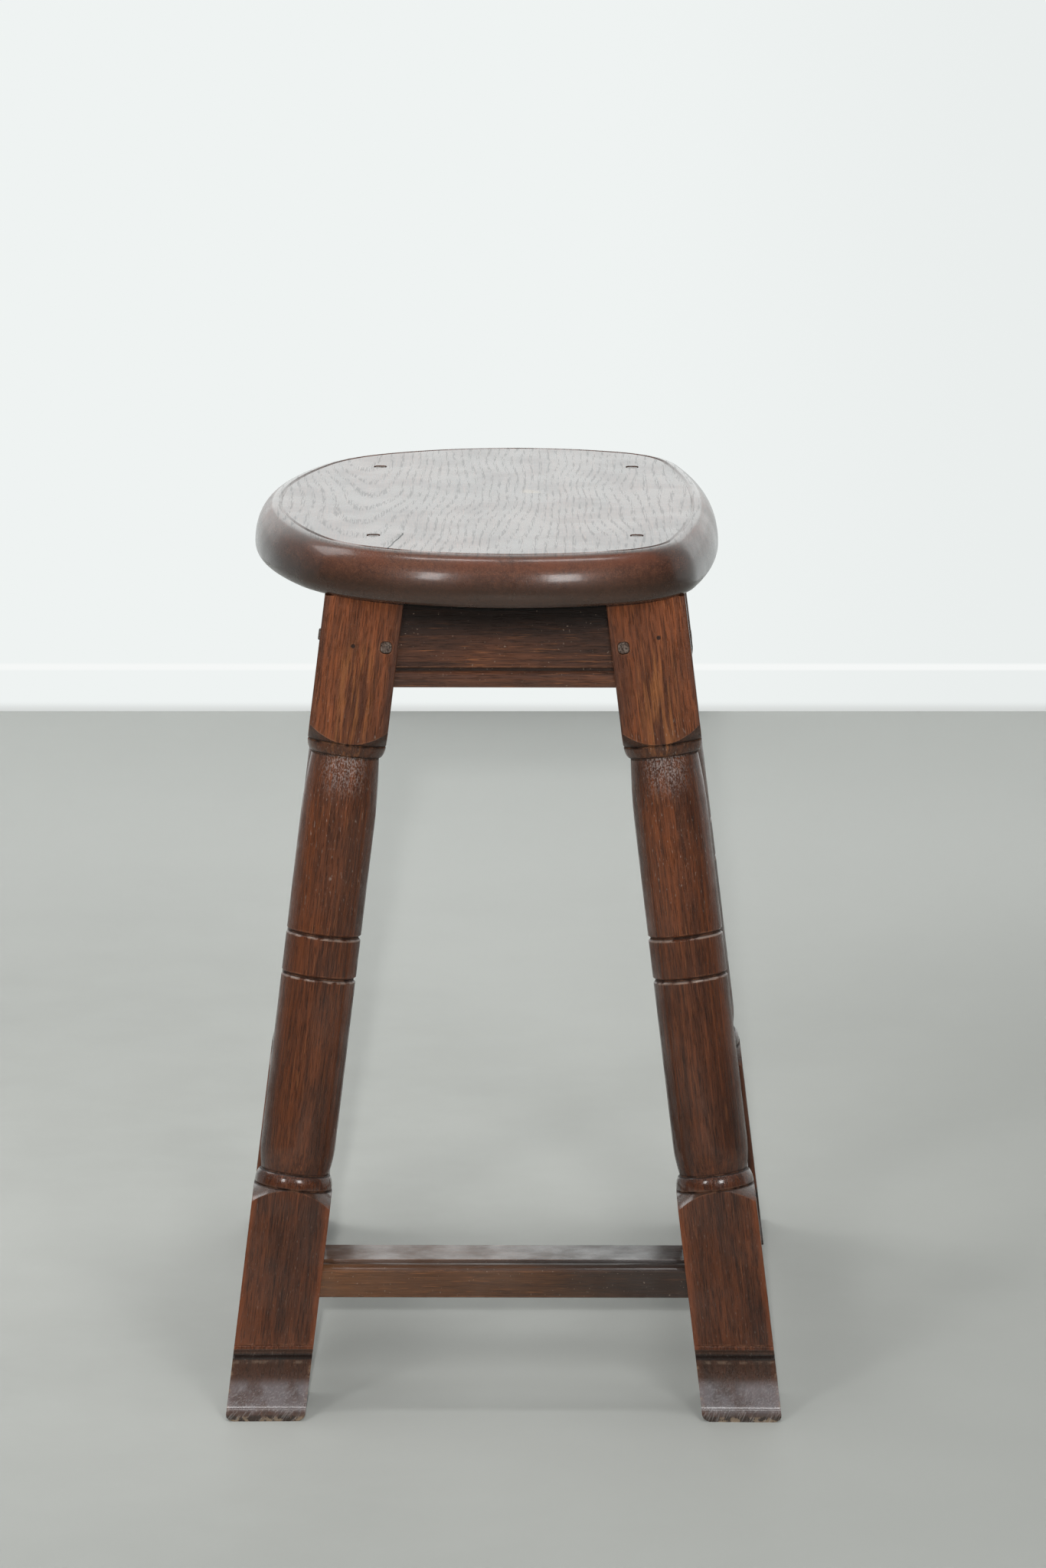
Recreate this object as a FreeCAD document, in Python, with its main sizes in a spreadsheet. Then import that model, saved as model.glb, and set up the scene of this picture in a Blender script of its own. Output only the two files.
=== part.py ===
import FreeCAD, Part
import Sketcher
import math
import os
from FreeCAD import Matrix, Placement, Rotation, Vector

# Oak joint stool: four splayed legs turned between square blocks, four beaded rails tenoned into
# the upper blocks, three flat stretchers tenoned into the lower ones, and a thick moulded seat.
# Millimetres, +Z up, origin on the floor under the centre of the frame, long axis along Y, the
# stool's front towards -Y.

# Sizes, one per line. Heights marked "axis" are measured along the sloping leg.
SIZES = [
    # Where the leg axes meet the floor, and how far they lean in per unit of height.
    ("leg_half_span", 156.6, "half the spacing of the leg axes on the floor, across the stool"),
    ("leg_half_reach", 199.2, "half the spacing of the leg axes on the floor, along the stool"),
    ("lean_across", 0.1222, "lean of a leg across the stool, run over rise"),
    ("lean_along", 0.1264, "lean of a leg along the stool, run over rise"),
    ("frame_height", 536.0, "floor to the underside of the seat"),
    # Leg stock and its turning.
    ("leg_square", 51.6, "width of the square stock"),
    ("stock_spare", 24.0, "stock left beyond the sawn ends"),
    ("turning_spare", 12.0, "how far the turned waste reaches past the stock's corner"),
    ("low_arch_corner", 136.4, "axis height where the lower shoulder starts at the corners"),
    ("low_arch_height", 10.6, "rise of the lower arch from the corners to the line under the collar"),
    ("low_valley_depth", 0.8, "depth of the fine line between arch and collar"),
    ("low_collar_height", 9.8, "height of the lower collar"),
    ("low_collar_swell", 3.4, "how far the lower collar stands out over the column's foot"),
    ("column_foot_radius", 22.3, "column radius at the lower collar"),
    ("column_foot_rise", 19.0, "height over which the column's foot reaches its full girth"),
    ("column_radius", 24.5, "full radius of the column"),
    ("ring_low_drop", 146.9, "lower incised ring below the neck"),
    ("ring_high_drop", 119.0, "upper incised ring below the neck"),
    ("ring_width", 3.6, "width of an incised ring"),
    ("ring_depth", 1.6, "depth of an incised ring"),
    ("neck_radius", 22.1, "radius of the neck"),
    ("neck_length", 40.0, "height over which the column thins up to the neck"),
    ("high_bead_height", 8.0, "height of the bead under the upper block"),
    ("high_bead_swell", 3.6, "how far that bead stands out over the neck"),
    ("high_valley_depth", 0.8, "depth of the fine line between bead and upper arch"),
    ("high_arch_height", 12.0, "rise of the upper arch from the fine line to the corners"),
    ("high_arch_drop", 89.9, "corners of the upper arch below the sawn top, along the axis"),
    # Foot: a small band, a sunk line, a cove and a toe, worked level on the outer end face only.
    ("foot_band_top", 43.7, "axis height of the band over the foot"),
    ("foot_band_setback", 1.0, "band behind the leg's face"),
    ("foot_band_height", 3.9, "height of the band"),
    ("foot_quirk_height", 3.6, "height of the sunk line under the band"),
    ("foot_quirk_depth", 3.4, "depth of that sunk line"),
    ("foot_cove_drop", 1.2, "cove's upper arris below the sunk line's floor"),
    ("foot_cove_start", 1.8, "depth of the cove's upper arris behind the face"),
    ("foot_cove_radius", 40.0, "radius of the cove"),
    ("toe_reach", 13.0, "how far the toe stands in front of the face"),
    ("toe_top", 2.0, "axis height of the toe's upper arris"),
    # Top rails.
    ("rail_height", 63.2, "height of a rail"),
    ("rail_thick", 22.0, "thickness of a rail"),
    ("rail_setback", 5.0, "rail face behind the leg's face"),
    ("rail_bead_height", 11.0, "height of the bead along the lower edge"),
    ("rail_bead_round", 8.0, "radius of that bead's face"),
    ("rail_quirk_height", 2.0, "height of the sunk line over the bead"),
    ("rail_quirk_depth", 2.0, "depth of that sunk line"),
    ("rail_tenon_setback", 6.0, "tenon cheek behind the rail's face"),
    ("rail_tenon_thick", 10.0, "thickness of a rail's tenon"),
    ("rail_tenon_reach", 25.0, "length of a rail's tenon"),
    ("rail_tenon_low", 15.0, "tenon's lower edge above the rail's lower edge"),
    ("rail_tenon_high", 9.0, "tenon's upper edge below the top of the frame"),
    # Stretchers, laid flat.
    ("stretcher_bottom", 76.0, "floor to the underside of a stretcher"),
    ("stretcher_thick", 23.0, "thickness of a stretcher"),
    ("stretcher_width", 45.4, "width of a stretcher"),
    ("stretcher_setback", 6.0, "stretcher face behind the leg's face"),
    ("stretcher_mould_width", 9.0, "width of the moulding on the outer upper edge"),
    ("stretcher_mould_drop", 5.0, "height of that moulding"),
    ("stretcher_quirk_width", 1.6, "width of the sunk line behind the moulding"),
    ("stretcher_quirk_depth", 1.6, "depth of that sunk line"),
    ("stretcher_tenon_setback", 6.0, "tenon edge behind the stretcher's face"),
    ("stretcher_tenon_width", 15.0, "width of a stretcher's tenon"),
    ("stretcher_tenon_thick", 11.0, "thickness of a stretcher's tenon"),
    ("stretcher_tenon_reach", 22.0, "length of a stretcher's tenon"),
    # Seat: a compass-drawn board. Its middle line and its two sides differ, as on the old board.
    ("seat_thick", 33.0, "thickness of the seat"),
    ("seat_shift_across", 5.0, "seat's long line to the right of the frame's"),
    ("seat_shift_along", 3.0, "seat's middle behind the frame's"),
    ("seat_half_depth", 205.0, "half the length of the seat"),
    ("seat_left", 171.0, "seat's long line to its left side"),
    ("seat_right", 135.0, "seat's long line to its right side"),
    ("seat_end_radius", 200.0, "radius of the two end curves"),
    ("seat_left_radius", 300.0, "radius of the left side's curve"),
    ("seat_right_radius", 600.0, "radius of the right side's curve"),
    ("seat_left_corner", 105.0, "radius of the two left corners"),
    ("seat_right_corner", 70.0, "radius of the two right corners"),
    ("seat_nose_width", 15.5, "width of the rounded nose"),
    ("seat_quirk_width", 3.0, "width of the incised line inside the nose"),
    ("seat_quirk_depth", 1.8, "depth of the incised line"),
    # Pegs.
    ("peg_side", 7.5, "width of a square rail peg"),
    ("peg_drop", 35.3, "rail pegs below the sawn top, along the axis"),
    ("peg_from_edge", 8.0, "middle of a rail peg from the leg's inner edge"),
    ("peg_reach", 31.0, "length of a rail peg inside the leg"),
    ("peg_proud", 2.0, "how far the side rails' pegs stand out"),
    ("seat_peg_side", 8.0, "width of a square seat peg"),
    ("seat_peg_inset_across", 5.0, "seat peg inside the leg's axis, across"),
    ("seat_peg_inset_along", 10.0, "seat peg inside the leg's axis, along"),
    ("seat_peg_reach", 24.0, "length of a seat peg in the leg's top"),
    # Fits.
    ("tenon_clearance", 0.3, "air round a tenon in its mortise"),
    ("peg_clearance", 0.1, "air round a peg in its hole"),
    ("overrun", 5.0, "how far a cut runs past what it cuts"),
]

doc = FreeCAD.newDocument("joint_stool")
sheet = doc.addObject("Spreadsheet::Sheet", "Sizes")
for row, (name, length, note) in enumerate(SIZES, start=1):
    sheet.set("A%d" % row, name)
    sheet.set("B%d" % row, str(length))
    sheet.set("C%d" % row, note)
    sheet.setAlias("B%d" % row, name)
doc.recompute()


def size(name):
    """Reads one size from the sheet."""
    return float(getattr(sheet, name))


def value(text):
    """Works out an expression of sheet sizes."""
    return float(sheet.evalExpression(text.replace("Sizes.", "")))


def plane(body, role):
    """One of the body's own origin planes."""
    return [item for item in body.Origin.OriginFeatures if item.Role == role][0]


def draw(body, name, role, corners):
    """Closed sketch outline. A corner is (x, y) for a straight side on to the next corner, or
    (x, y, radius, turn) for an arc, where turn is 1 when the arc runs anticlockwise."""
    sketch = body.newObject("Sketcher::SketchObject", name)
    sketch.AttachmentSupport = [(plane(body, role), "")]
    sketch.MapMode = "FlatFace"
    spots = [Vector(value(c[0]), value(c[1]), 0) for c in corners]
    for index, corner in enumerate(corners):
        a = spots[index]
        b = spots[(index + 1) % len(spots)]
        if len(corner) == 2:
            sketch.addGeometry(Part.LineSegment(a, b), False)
            continue
        radius = value(corner[2])
        chord = b.sub(a)
        half = chord.Length / 2
        drop = math.sqrt(radius * radius - half * half)
        normal = Vector(-chord.y, chord.x, 0).normalize()
        centre = a.add(b).multiply(0.5).add(normal.multiply(drop * corner[3]))
        circle = Part.Circle(centre, Vector(0, 0, 1), radius)
        first, last = (a, b) if corner[3] == 1 else (b, a)
        start = math.atan2(first.y - centre.y, first.x - centre.x)
        end = math.atan2(last.y - centre.y, last.x - centre.x)
        if end < start:
            end += 2 * math.pi
        sketch.addGeometry(Part.ArcOfCircle(circle, start, end), False)
    for index, corner in enumerate(corners):
        ahead = (index + 1) % len(corners)
        begin = 1 if len(corner) == 2 or corner[3] == 1 else 2
        finish = 3 - begin
        next_begin = 1 if len(corners[ahead]) == 2 or corners[ahead][3] == 1 else 2
        sketch.addConstraint(Sketcher.Constraint("Coincident", index, finish, ahead, next_begin))
        for kind, axis, text in (("DistanceX", -2, corner[0]), ("DistanceY", -1, corner[1])):
            if value(text) == 0:
                sketch.addConstraint(Sketcher.Constraint("PointOnObject", index, begin, axis))
                continue
            number = sketch.addConstraint(Sketcher.Constraint(kind, index, begin, value(text)))
            sketch.setExpression("Constraints[%d]" % number, text)
        if len(corner) == 4:
            number = sketch.addConstraint(Sketcher.Constraint("Radius", index, value(corner[2])))
            sketch.setExpression("Constraints[%d]" % number, corner[2])
    doc.recompute()
    return sketch


def pad(body, kind, name, sketch, length, slope=0.0):
    """Pad or Pocket of the given length, centred on the sketch's plane. With a slope it runs
    aslant, rising by that much per unit of its length."""
    feature = body.newObject("PartDesign::" + kind, name)
    feature.Profile = sketch
    feature.Midplane = True
    feature.setExpression("Length", length)
    if slope:
        feature.UseCustomVector = True
        feature.Direction = Vector(1, 0, slope)
        feature.AlongSketchNormal = True
    doc.recompute()
    return feature


def solid_box(name, place, sizes, corner):
    """Box in the frame place, with its low corner at corner and its sizes bound to the sheet."""
    box = doc.addObject("Part::Box", name)
    for side, text in zip(("Length", "Width", "Height"), sizes):
        box.setExpression(side, text)
    box.Placement = place.multiply(Placement(Vector(*[value(text) for text in corner]), Rotation()))
    return box


def join(kind, name, base, tool):
    """Part boolean of two objects."""
    result = doc.addObject("Part::" + kind, name)
    result.Base = base
    result.Tool = tool
    return result


def gather(name, pieces):
    """Several pieces held as one object."""
    group = doc.addObject("Part::Compound", name)
    group.Links = pieces
    return group


# Frames of the four legs. Each stands on its axis, local -Y towards the end of the stool, so all
# four share one shape. Its side faces stay parallel to the stool's length.
LEGS = {
    "front_left": (-1, -1),
    "front_right": (1, -1),
    "rear_left": (-1, 1),
    "rear_right": (1, 1),
}


def leg_frame(side, end):
    axis = Vector(-side * size("lean_across"), -end * size("lean_along"), 1).normalize()
    across = Vector(axis.z, 0, -axis.x).normalize().multiply(-end)
    along = axis.cross(across)
    matrix = Matrix(across.x, along.x, axis.x, side * size("leg_half_span"),
                    across.y, along.y, axis.y, end * size("leg_half_reach"),
                    across.z, along.z, axis.z, 0,
                    0, 0, 0, 1)
    return Placement(matrix)


# Frames of the four sides. Local X runs along the rail, local -Y looks outwards, local Z leans
# in with the legs, and the origin is on the legs' axes.
SIDES = {"front": 0, "right": 90, "rear": 180, "left": 270}


def side_frame(name, height, leaning):
    across = name in ("left", "right")
    lean = size("lean_across") if across else size("lean_along")
    reach = size("leg_half_span") if across else size("leg_half_reach")
    turn = Rotation(Vector(0, 0, 1), SIDES[name])
    tilt = Rotation(Vector(1, 0, 0), -math.degrees(math.atan(lean)) if leaning else 0)
    spot = turn.multVec(Vector(0, -(reach - height * lean), 0))
    return Placement(spot.add(Vector(0, 0, height)), turn.multiply(tilt))


# The space between the floor and the underside of the seat, which trims the sloping pieces.
slab = doc.addObject("Part::Box", "frame_space")
slab.setExpression("Height", "Sizes.frame_height")
slab.setExpression("Length", "4 * Sizes.leg_half_span")
slab.setExpression("Width", "4 * Sizes.leg_half_reach")
slab.Placement = Placement(Vector(-2 * size("leg_half_span"), -2 * size("leg_half_reach"), 0), Rotation())

HALF = "Sizes.leg_square / 2"
WASTE = "(Sizes.leg_square * 0.75 + Sizes.turning_spare)"
TOP = "(Sizes.frame_height * sqrt(1 + Sizes.lean_across ^ 2 + Sizes.lean_along ^ 2))"
RAIL_BOTTOM = "(Sizes.frame_height - Sizes.rail_height)"
BOTTOMS = {"rail": RAIL_BOTTOM, "stretcher": "Sizes.stretcher_bottom"}

# Bead, shoulder and nose outlines as shares of their own width and height. A bead is full beside
# the block and falls away in a quarter round to the thin side.
BEAD_SHARES = [(1.0, 0.1), (0.9, 0.45), (0.55, 0.8)]
SHOULDER_SHARES = [(0.0, 0.0), (0.41, 0.5), (1.0, 1.0)]
NOSE_SHARES = [(0.5, 0.0), (0.17, 0.09), (0.0, 0.3), (0.0, 0.54), (0.08, 0.73), (0.3, 0.89), (0.62, 0.97),
               (1.0, 1.0)]


def leg_stock(name, frame, low):
    """Square stock from the given axis height to beyond the sawn top."""
    return solid_box(name, frame, ["Sizes.leg_square", "Sizes.leg_square", TOP + " + Sizes.stock_spare - " + low],
                     ["-" + HALF, "-" + HALF, low])


def ring(height):
    """Three corners of one incised ring."""
    return [("Sizes.column_radius", "%s - Sizes.ring_width / 2" % height),
            ("Sizes.column_radius - Sizes.ring_depth", height),
            ("Sizes.column_radius", "%s + Sizes.ring_width / 2" % height)]


def bead(inner, swell, low, height, shares):
    """Corners of a bead that stands out from the radius inner by swell, from low upwards."""
    return [("%s + %s * %.3f" % (inner, swell, out), "%s + %s * %.3f" % (low, height, up)) for out, up in shares]


def leg_body(name, level):
    """One leg, upright on its axis: square stock, the turning taken off it, and the foot. The foot's
    mouldings rise by level per unit across the leg, which makes them level once it leans."""
    body = doc.addObject("PartDesign::Body", name)
    square = draw(body, name + "_square", "XY_Plane", [
        ("-" + HALF, "-" + HALF), (HALF, "-" + HALF), (HALF, HALF), ("-" + HALF, HALF)])
    stock = body.newObject("PartDesign::Pad", name + "_stock")
    stock.Profile = square
    stock.setExpression("Length", TOP + " + Sizes.stock_spare")
    doc.recompute()
    before = stock.Shape.Volume

    # The turned waste, from the lower arch to the upper one.
    corner = "(%s * 1.4142)" % HALF
    low_valley = "(Sizes.low_arch_corner + Sizes.low_arch_height)"
    collar_top = "(%s + Sizes.low_collar_height)" % low_valley
    low_radius = "(%s - Sizes.low_valley_depth)" % HALF
    high_corner = "(%s - Sizes.high_arch_drop)" % TOP
    high_valley = "(%s - Sizes.high_arch_height)" % high_corner
    high_radius = "(%s - Sizes.high_valley_depth)" % HALF
    neck = "(%s - Sizes.high_bead_height)" % high_valley
    low_shoulder = [("%s - (%s - %s) * %.3f" % (corner, corner, low_radius, along),
                     "Sizes.low_arch_corner + Sizes.low_arch_height * %.3f" % up) for along, up in SHOULDER_SHARES]
    high_shoulder = [("%s - (%s - %s) * %.3f" % (corner, corner, high_radius, along),
                      "%s - Sizes.high_arch_height * %.3f" % (high_corner, up)) for along, up in SHOULDER_SHARES]
    upper_shares = [(out, 1 - up) for out, up in reversed(BEAD_SHARES)]
    profile = [(WASTE, "Sizes.low_arch_corner")] + low_shoulder
    profile += bead("Sizes.column_foot_radius", "Sizes.low_collar_swell", low_valley, "Sizes.low_collar_height",
                    BEAD_SHARES)
    profile += [("Sizes.column_foot_radius", collar_top),
                ("Sizes.column_radius", "%s + Sizes.column_foot_rise" % collar_top)]
    profile += ring("(%s - Sizes.ring_low_drop)" % neck) + ring("(%s - Sizes.ring_high_drop)" % neck)
    profile += [("Sizes.column_radius", "%s - Sizes.neck_length" % neck), ("Sizes.neck_radius", neck)]
    profile += bead("Sizes.neck_radius", "Sizes.high_bead_swell", neck, "Sizes.high_bead_height", upper_shares)
    profile += list(reversed(high_shoulder)) + [(WASTE, high_corner)]
    waste = draw(body, name + "_turning_profile", "XZ_Plane", profile)
    turning = body.newObject("PartDesign::Groove", name + "_turning")
    turning.Profile = waste
    turning.ReferenceAxis = (waste, ["V_Axis"])
    turning.Angle = 360
    doc.recompute()
    if turning.Shape.Volume > before * 0.95:
        raise ValueError("the turning took nothing off " + name)

    # Foot: everything below the band is cut back, then the moulded foot is put in its place.
    clear = draw(body, name + "_foot_waste", "YZ_Plane", [
        ("-" + HALF + " - Sizes.overrun", "-Sizes.stock_spare"), (HALF + " + Sizes.overrun", "-Sizes.stock_spare"),
        (HALF + " + Sizes.overrun", "Sizes.foot_band_top"),
        ("-" + HALF + " - Sizes.overrun", "Sizes.foot_band_top")])
    cutback = pad(body, "Pocket", name + "_foot_cutback", clear, "Sizes.leg_square + 2 * Sizes.overrun", level)
    if cutback.Shape.BoundBox.ZMin < size("foot_band_top") - size("foot_band_height") - size("overrun"):
        raise ValueError("the foot was not cut back on " + name)
    band_low = "(Sizes.foot_band_top - Sizes.foot_band_height)"
    quirk_low = "(%s - Sizes.foot_quirk_height)" % band_low
    foot = draw(body, name + "_foot_profile", "YZ_Plane", [
        (HALF, "-Sizes.stock_spare"), (HALF, "Sizes.foot_band_top"),
        ("-" + HALF + " + Sizes.foot_band_setback", "Sizes.foot_band_top"),
        ("-" + HALF + " + Sizes.foot_band_setback", band_low),
        ("-" + HALF + " + Sizes.foot_quirk_depth", band_low),
        ("-" + HALF + " + Sizes.foot_quirk_depth", quirk_low),
        ("-" + HALF + " + Sizes.foot_cove_start", quirk_low + " - Sizes.foot_cove_drop",
         "Sizes.foot_cove_radius", -1),
        ("-" + HALF + " - Sizes.toe_reach", "Sizes.toe_top"),
        ("-" + HALF + " - Sizes.toe_reach", "-Sizes.stock_spare")])
    pad(body, "Pad", name + "_foot", foot, "Sizes.leg_square", level)
    return body


def tenon_box(name, frame, kind, grow):
    """A member's tenon bar, which runs from tenon end to tenon end, grown by the clearance."""
    lean = "Sizes.lean_across" if kind[1] in ("front", "rear") else "Sizes.lean_along"
    span = "Sizes.leg_half_span" if kind[1] in ("front", "rear") else "Sizes.leg_half_reach"
    if kind[0] == "rail":
        middle = "(Sizes.frame_height - Sizes.rail_height / 2)"
        reach = "Sizes.rail_tenon_reach"
        front = "Sizes.rail_setback + Sizes.rail_tenon_setback"
        thick = "Sizes.rail_tenon_thick"
        low = "Sizes.rail_tenon_low"
        high = "Sizes.rail_height - Sizes.rail_tenon_high"
    else:
        middle = "Sizes.stretcher_bottom + Sizes.stretcher_thick / 2"
        reach = "Sizes.stretcher_tenon_reach"
        front = "Sizes.stretcher_setback + Sizes.stretcher_tenon_setback"
        thick = "Sizes.stretcher_tenon_width"
        low = "(Sizes.stretcher_thick - Sizes.stretcher_tenon_thick) / 2"
        high = "(Sizes.stretcher_thick + Sizes.stretcher_tenon_thick) / 2"
    half_length = "(%s - (%s) * %s - %s + %s + %s)" % (span, middle, lean, HALF, reach, grow)
    return solid_box(name, frame,
                     ["2 * " + half_length, "%s + 2 * %s" % (thick, grow), "%s - %s + 2 * %s" % (high, low, grow)],
                     ["-" + half_length, "-%s + %s - %s" % (HALF, front, grow), "%s - %s" % (low, grow)])


def rail_section(body, name):
    """Section of a rail, bead and sunk line along its lower outer edge."""
    face = "(-%s + Sizes.rail_setback)" % HALF
    back = "(-%s + Sizes.rail_setback + Sizes.rail_thick)" % HALF
    top = "(Sizes.rail_height + Sizes.stock_spare)"
    bead = "Sizes.rail_bead_height"
    line = "(Sizes.rail_bead_height + Sizes.rail_quirk_height)"
    return draw(body, name + "_section", "YZ_Plane", [
        (back, "0"), (back, top), (face, top), (face, line),
        (face + " + Sizes.rail_quirk_depth", line),
        (face + " + Sizes.rail_quirk_depth", bead, "Sizes.rail_bead_round", 1),
        (face + " + Sizes.rail_quirk_depth", "0")])


def stretcher_section(body, name):
    """Section of a flat stretcher, moulded on its outer upper edge."""
    face = "(-%s + Sizes.stretcher_setback)" % HALF
    back = "(-%s + Sizes.stretcher_setback + Sizes.stretcher_width)" % HALF
    top = "Sizes.stretcher_thick"
    line = "(%s + Sizes.stretcher_mould_width)" % face
    return draw(body, name + "_section", "YZ_Plane", [
        (back, "0"), (back, top), (line + " + Sizes.stretcher_quirk_width", top),
        (line, top + " - Sizes.stretcher_quirk_depth",
         "(Sizes.stretcher_mould_width + Sizes.stretcher_mould_drop) * 0.75", 1),
        (face, top + " - Sizes.stretcher_mould_drop"), (face, "0")])


def member(kind, side):
    """A rail or stretcher: moulded section, shoulders cut to the sloping legs, tenon bar."""
    name = "%s_%s" % (kind, side)
    ends = side in ("front", "rear")
    frame = side_frame(side, value(BOTTOMS[kind]), kind == "rail")
    body = doc.addObject("PartDesign::Body", name + "_body")
    section = rail_section(body, name) if kind == "rail" else stretcher_section(body, name)
    span = "Sizes.leg_half_span" if ends else "Sizes.leg_half_reach"
    lean = "Sizes.lean_across" if ends else "Sizes.lean_along"
    pad(body, "Pad", name + "_length", section, "2 * (%s - %s * %s)" % (span, BOTTOMS[kind], lean))
    body.Placement = frame
    board = join("Common", name + "_trimmed", body, slab) if kind == "rail" else body
    tools = gather(name + "_shoulders", [stocks[leg] for leg in LEGS if side in leg])
    shouldered = join("Cut", name + "_shouldered", board, tools)
    bar = tenon_box(name + "_tenons", frame, (kind, side), "0")
    mortise = tenon_box(name + "_mortises", frame, (kind, side), "Sizes.tenon_clearance")
    return join("Fuse", name + "_joined", shouldered, bar), mortise


frames = {leg: leg_frame(*signs) for leg, signs in LEGS.items()}
stocks = {leg: leg_stock("stock_" + leg, frames[leg], "0") for leg in LEGS}


def peg_box(name, leg, through, grow):
    """Square rail peg of a leg, driven through its end face or its side face."""
    side, end = LEGS[leg]
    inward = side * end
    edge = "(%s - Sizes.peg_from_edge)" % HALF
    girth = "Sizes.peg_side + 2 * " + grow
    start = "-(Sizes.peg_side / 2 + %s)" % grow
    low = "%s - Sizes.peg_drop - Sizes.peg_side / 2 - %s" % (TOP, grow)
    if through == "end":
        length = "Sizes.peg_reach + 2 * " + grow
        corner = ["%d * %s + %s" % (inward, edge, start), "-%s - %s" % (HALF, grow), low]
        return solid_box(name, frames[leg], [girth, length, girth], corner)
    length = "Sizes.peg_reach + Sizes.peg_proud + 2 * " + grow
    outer = "-%s - Sizes.peg_proud - %s" % (HALF, grow)
    if inward < 0:
        outer = "%s - Sizes.peg_reach - %s" % (HALF, grow)
    return solid_box(name, frames[leg], [length, girth, girth], [outer, "%s + %s" % (edge, start), low])


def seat_peg(name, leg, grow):
    """Square peg down through the seat into the leg's top."""
    side, end = LEGS[leg]
    across = value("leg_half_span - frame_height * lean_across - seat_peg_inset_across")
    along = value("leg_half_reach - frame_height * lean_along - seat_peg_inset_along")
    place = Placement(Vector(side * across, end * along, size("frame_height")), Rotation())
    girth = "Sizes.seat_peg_side + 2 * " + grow
    start = "-(Sizes.seat_peg_side / 2 + %s)" % grow
    return solid_box(name, place, [girth, girth, "Sizes.seat_thick + Sizes.seat_peg_reach + " + grow],
                     [start, start, "-Sizes.seat_peg_reach - " + grow])


def labelled(item, name):
    item.Label = name
    return item


# Rails and stretchers, with the mortises that they need.
members = {}
mortises = {}
for side in SIDES:
    members["rail", side], mortises["rail", side] = member("rail", side)
for side in ("front", "left", "right"):
    members["stretcher", side], mortises["stretcher", side] = member("stretcher", side)

# Pegs and the holes for them.
end_pegs = {leg: peg_box("end_peg_" + leg, leg, "end", "0") for leg in LEGS}
side_pegs = {leg: peg_box("side_peg_" + leg, leg, "side", "0") for leg in LEGS}
seat_pegs = {leg: seat_peg("seat_peg_" + leg, leg, "0") for leg in LEGS}
end_holes = {leg: peg_box("end_hole_" + leg, leg, "end", "Sizes.peg_clearance") for leg in LEGS}
side_holes = {leg: peg_box("side_hole_" + leg, leg, "side", "Sizes.peg_clearance") for leg in LEGS}
seat_holes = {leg: seat_peg("seat_hole_" + leg, leg, "Sizes.peg_clearance") for leg in LEGS}

nodes = []
for leg, (side, end) in LEGS.items():
    level = side * end * value("lean_across * sqrt(1 + lean_across ^ 2 + lean_along ^ 2) / sqrt(1 + lean_across ^ 2)")
    body = leg_body("turned_" + leg, level)
    body.Placement = frames[leg]
    trimmed = join("Common", "trimmed_" + leg, body, slab)
    tools = [mortises[key] for key in mortises if key[1] in leg]
    tools += [end_holes[leg], side_holes[leg], seat_holes[leg]]
    cut = join("Cut", "cut_" + leg, trimmed, gather("hollows_" + leg, tools))
    nodes.append(labelled(cut, "leg_" + leg))

for (kind, side), piece in members.items():
    if kind == "rail":
        holes = end_holes if side in ("front", "rear") else side_holes
        tools = gather("rail_holes_" + side, [holes[leg] for leg in LEGS if side in leg])
        piece = join("Cut", "rail_drilled_" + side, piece, tools)
    nodes.append(labelled(piece, "%s_%s" % (kind, side)))

nodes.append(labelled(gather("end_pegs", list(end_pegs.values())), "pegs_end_rails"))
nodes.append(labelled(gather("side_pegs", list(side_pegs.values())), "pegs_side_rails"))
nodes.append(labelled(gather("seat_pegs", list(seat_pegs.values())), "pegs_seat"))


# Seat outline: an end curve, a corner and a side curve per quarter, each tangent to the next,
# drawn about the same centres for every inset.
def quarter(side, end, half_width, side_radius, corner_radius, inset):
    """The three curves of one quarter, from the end of the long line to the side."""
    end_radius = size("seat_end_radius")
    depth = size("seat_half_depth")
    end_centre = Vector(0, depth - end_radius, 0)
    side_centre = Vector(half_width - side_radius, 0, 0)
    gap = side_centre.sub(end_centre)
    a = end_radius - corner_radius
    b = side_radius - corner_radius
    along = (a * a - b * b + gap.Length ** 2) / (2 * gap.Length)
    rise = math.sqrt(a * a - along * along)
    unit = Vector(gap).normalize()
    normal = Vector(-unit.y, unit.x, 0)
    if normal.y < 0:
        normal = normal.multiply(-1)
    corner = end_centre.add(Vector(unit).multiply(along)).add(normal.multiply(rise))
    first = Vector(corner.sub(end_centre)).normalize()
    second = Vector(corner.sub(side_centre)).normalize()

    def spot(centre, direction, radius):
        point = centre.add(Vector(direction).normalize().multiply(radius - inset))
        return Vector(size("seat_shift_across") + side * point.x, size("seat_shift_along") + end * point.y, 0)

    def bow(centre, radius, start, finish):
        return Part.Arc(spot(centre, start, radius), spot(centre, start.add(finish), radius),
                        spot(centre, finish, radius)).toShape()

    return [bow(end_centre, end_radius, Vector(0, 1, 0), first), bow(corner, corner_radius, first, second),
            bow(side_centre, side_radius, second, Vector(1, 0, 0))]


def seat_outline(inset):
    left = (size("seat_left"), size("seat_left_radius"), size("seat_left_corner"), inset)
    right = (size("seat_right"), size("seat_right_radius"), size("seat_right_corner"), inset)
    edges = []
    for end in (-1, 1):
        edges += quarter(-1, end, *left) + quarter(1, end, *right)
    return Part.Wire(Part.__sortEdges__(edges))


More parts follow.
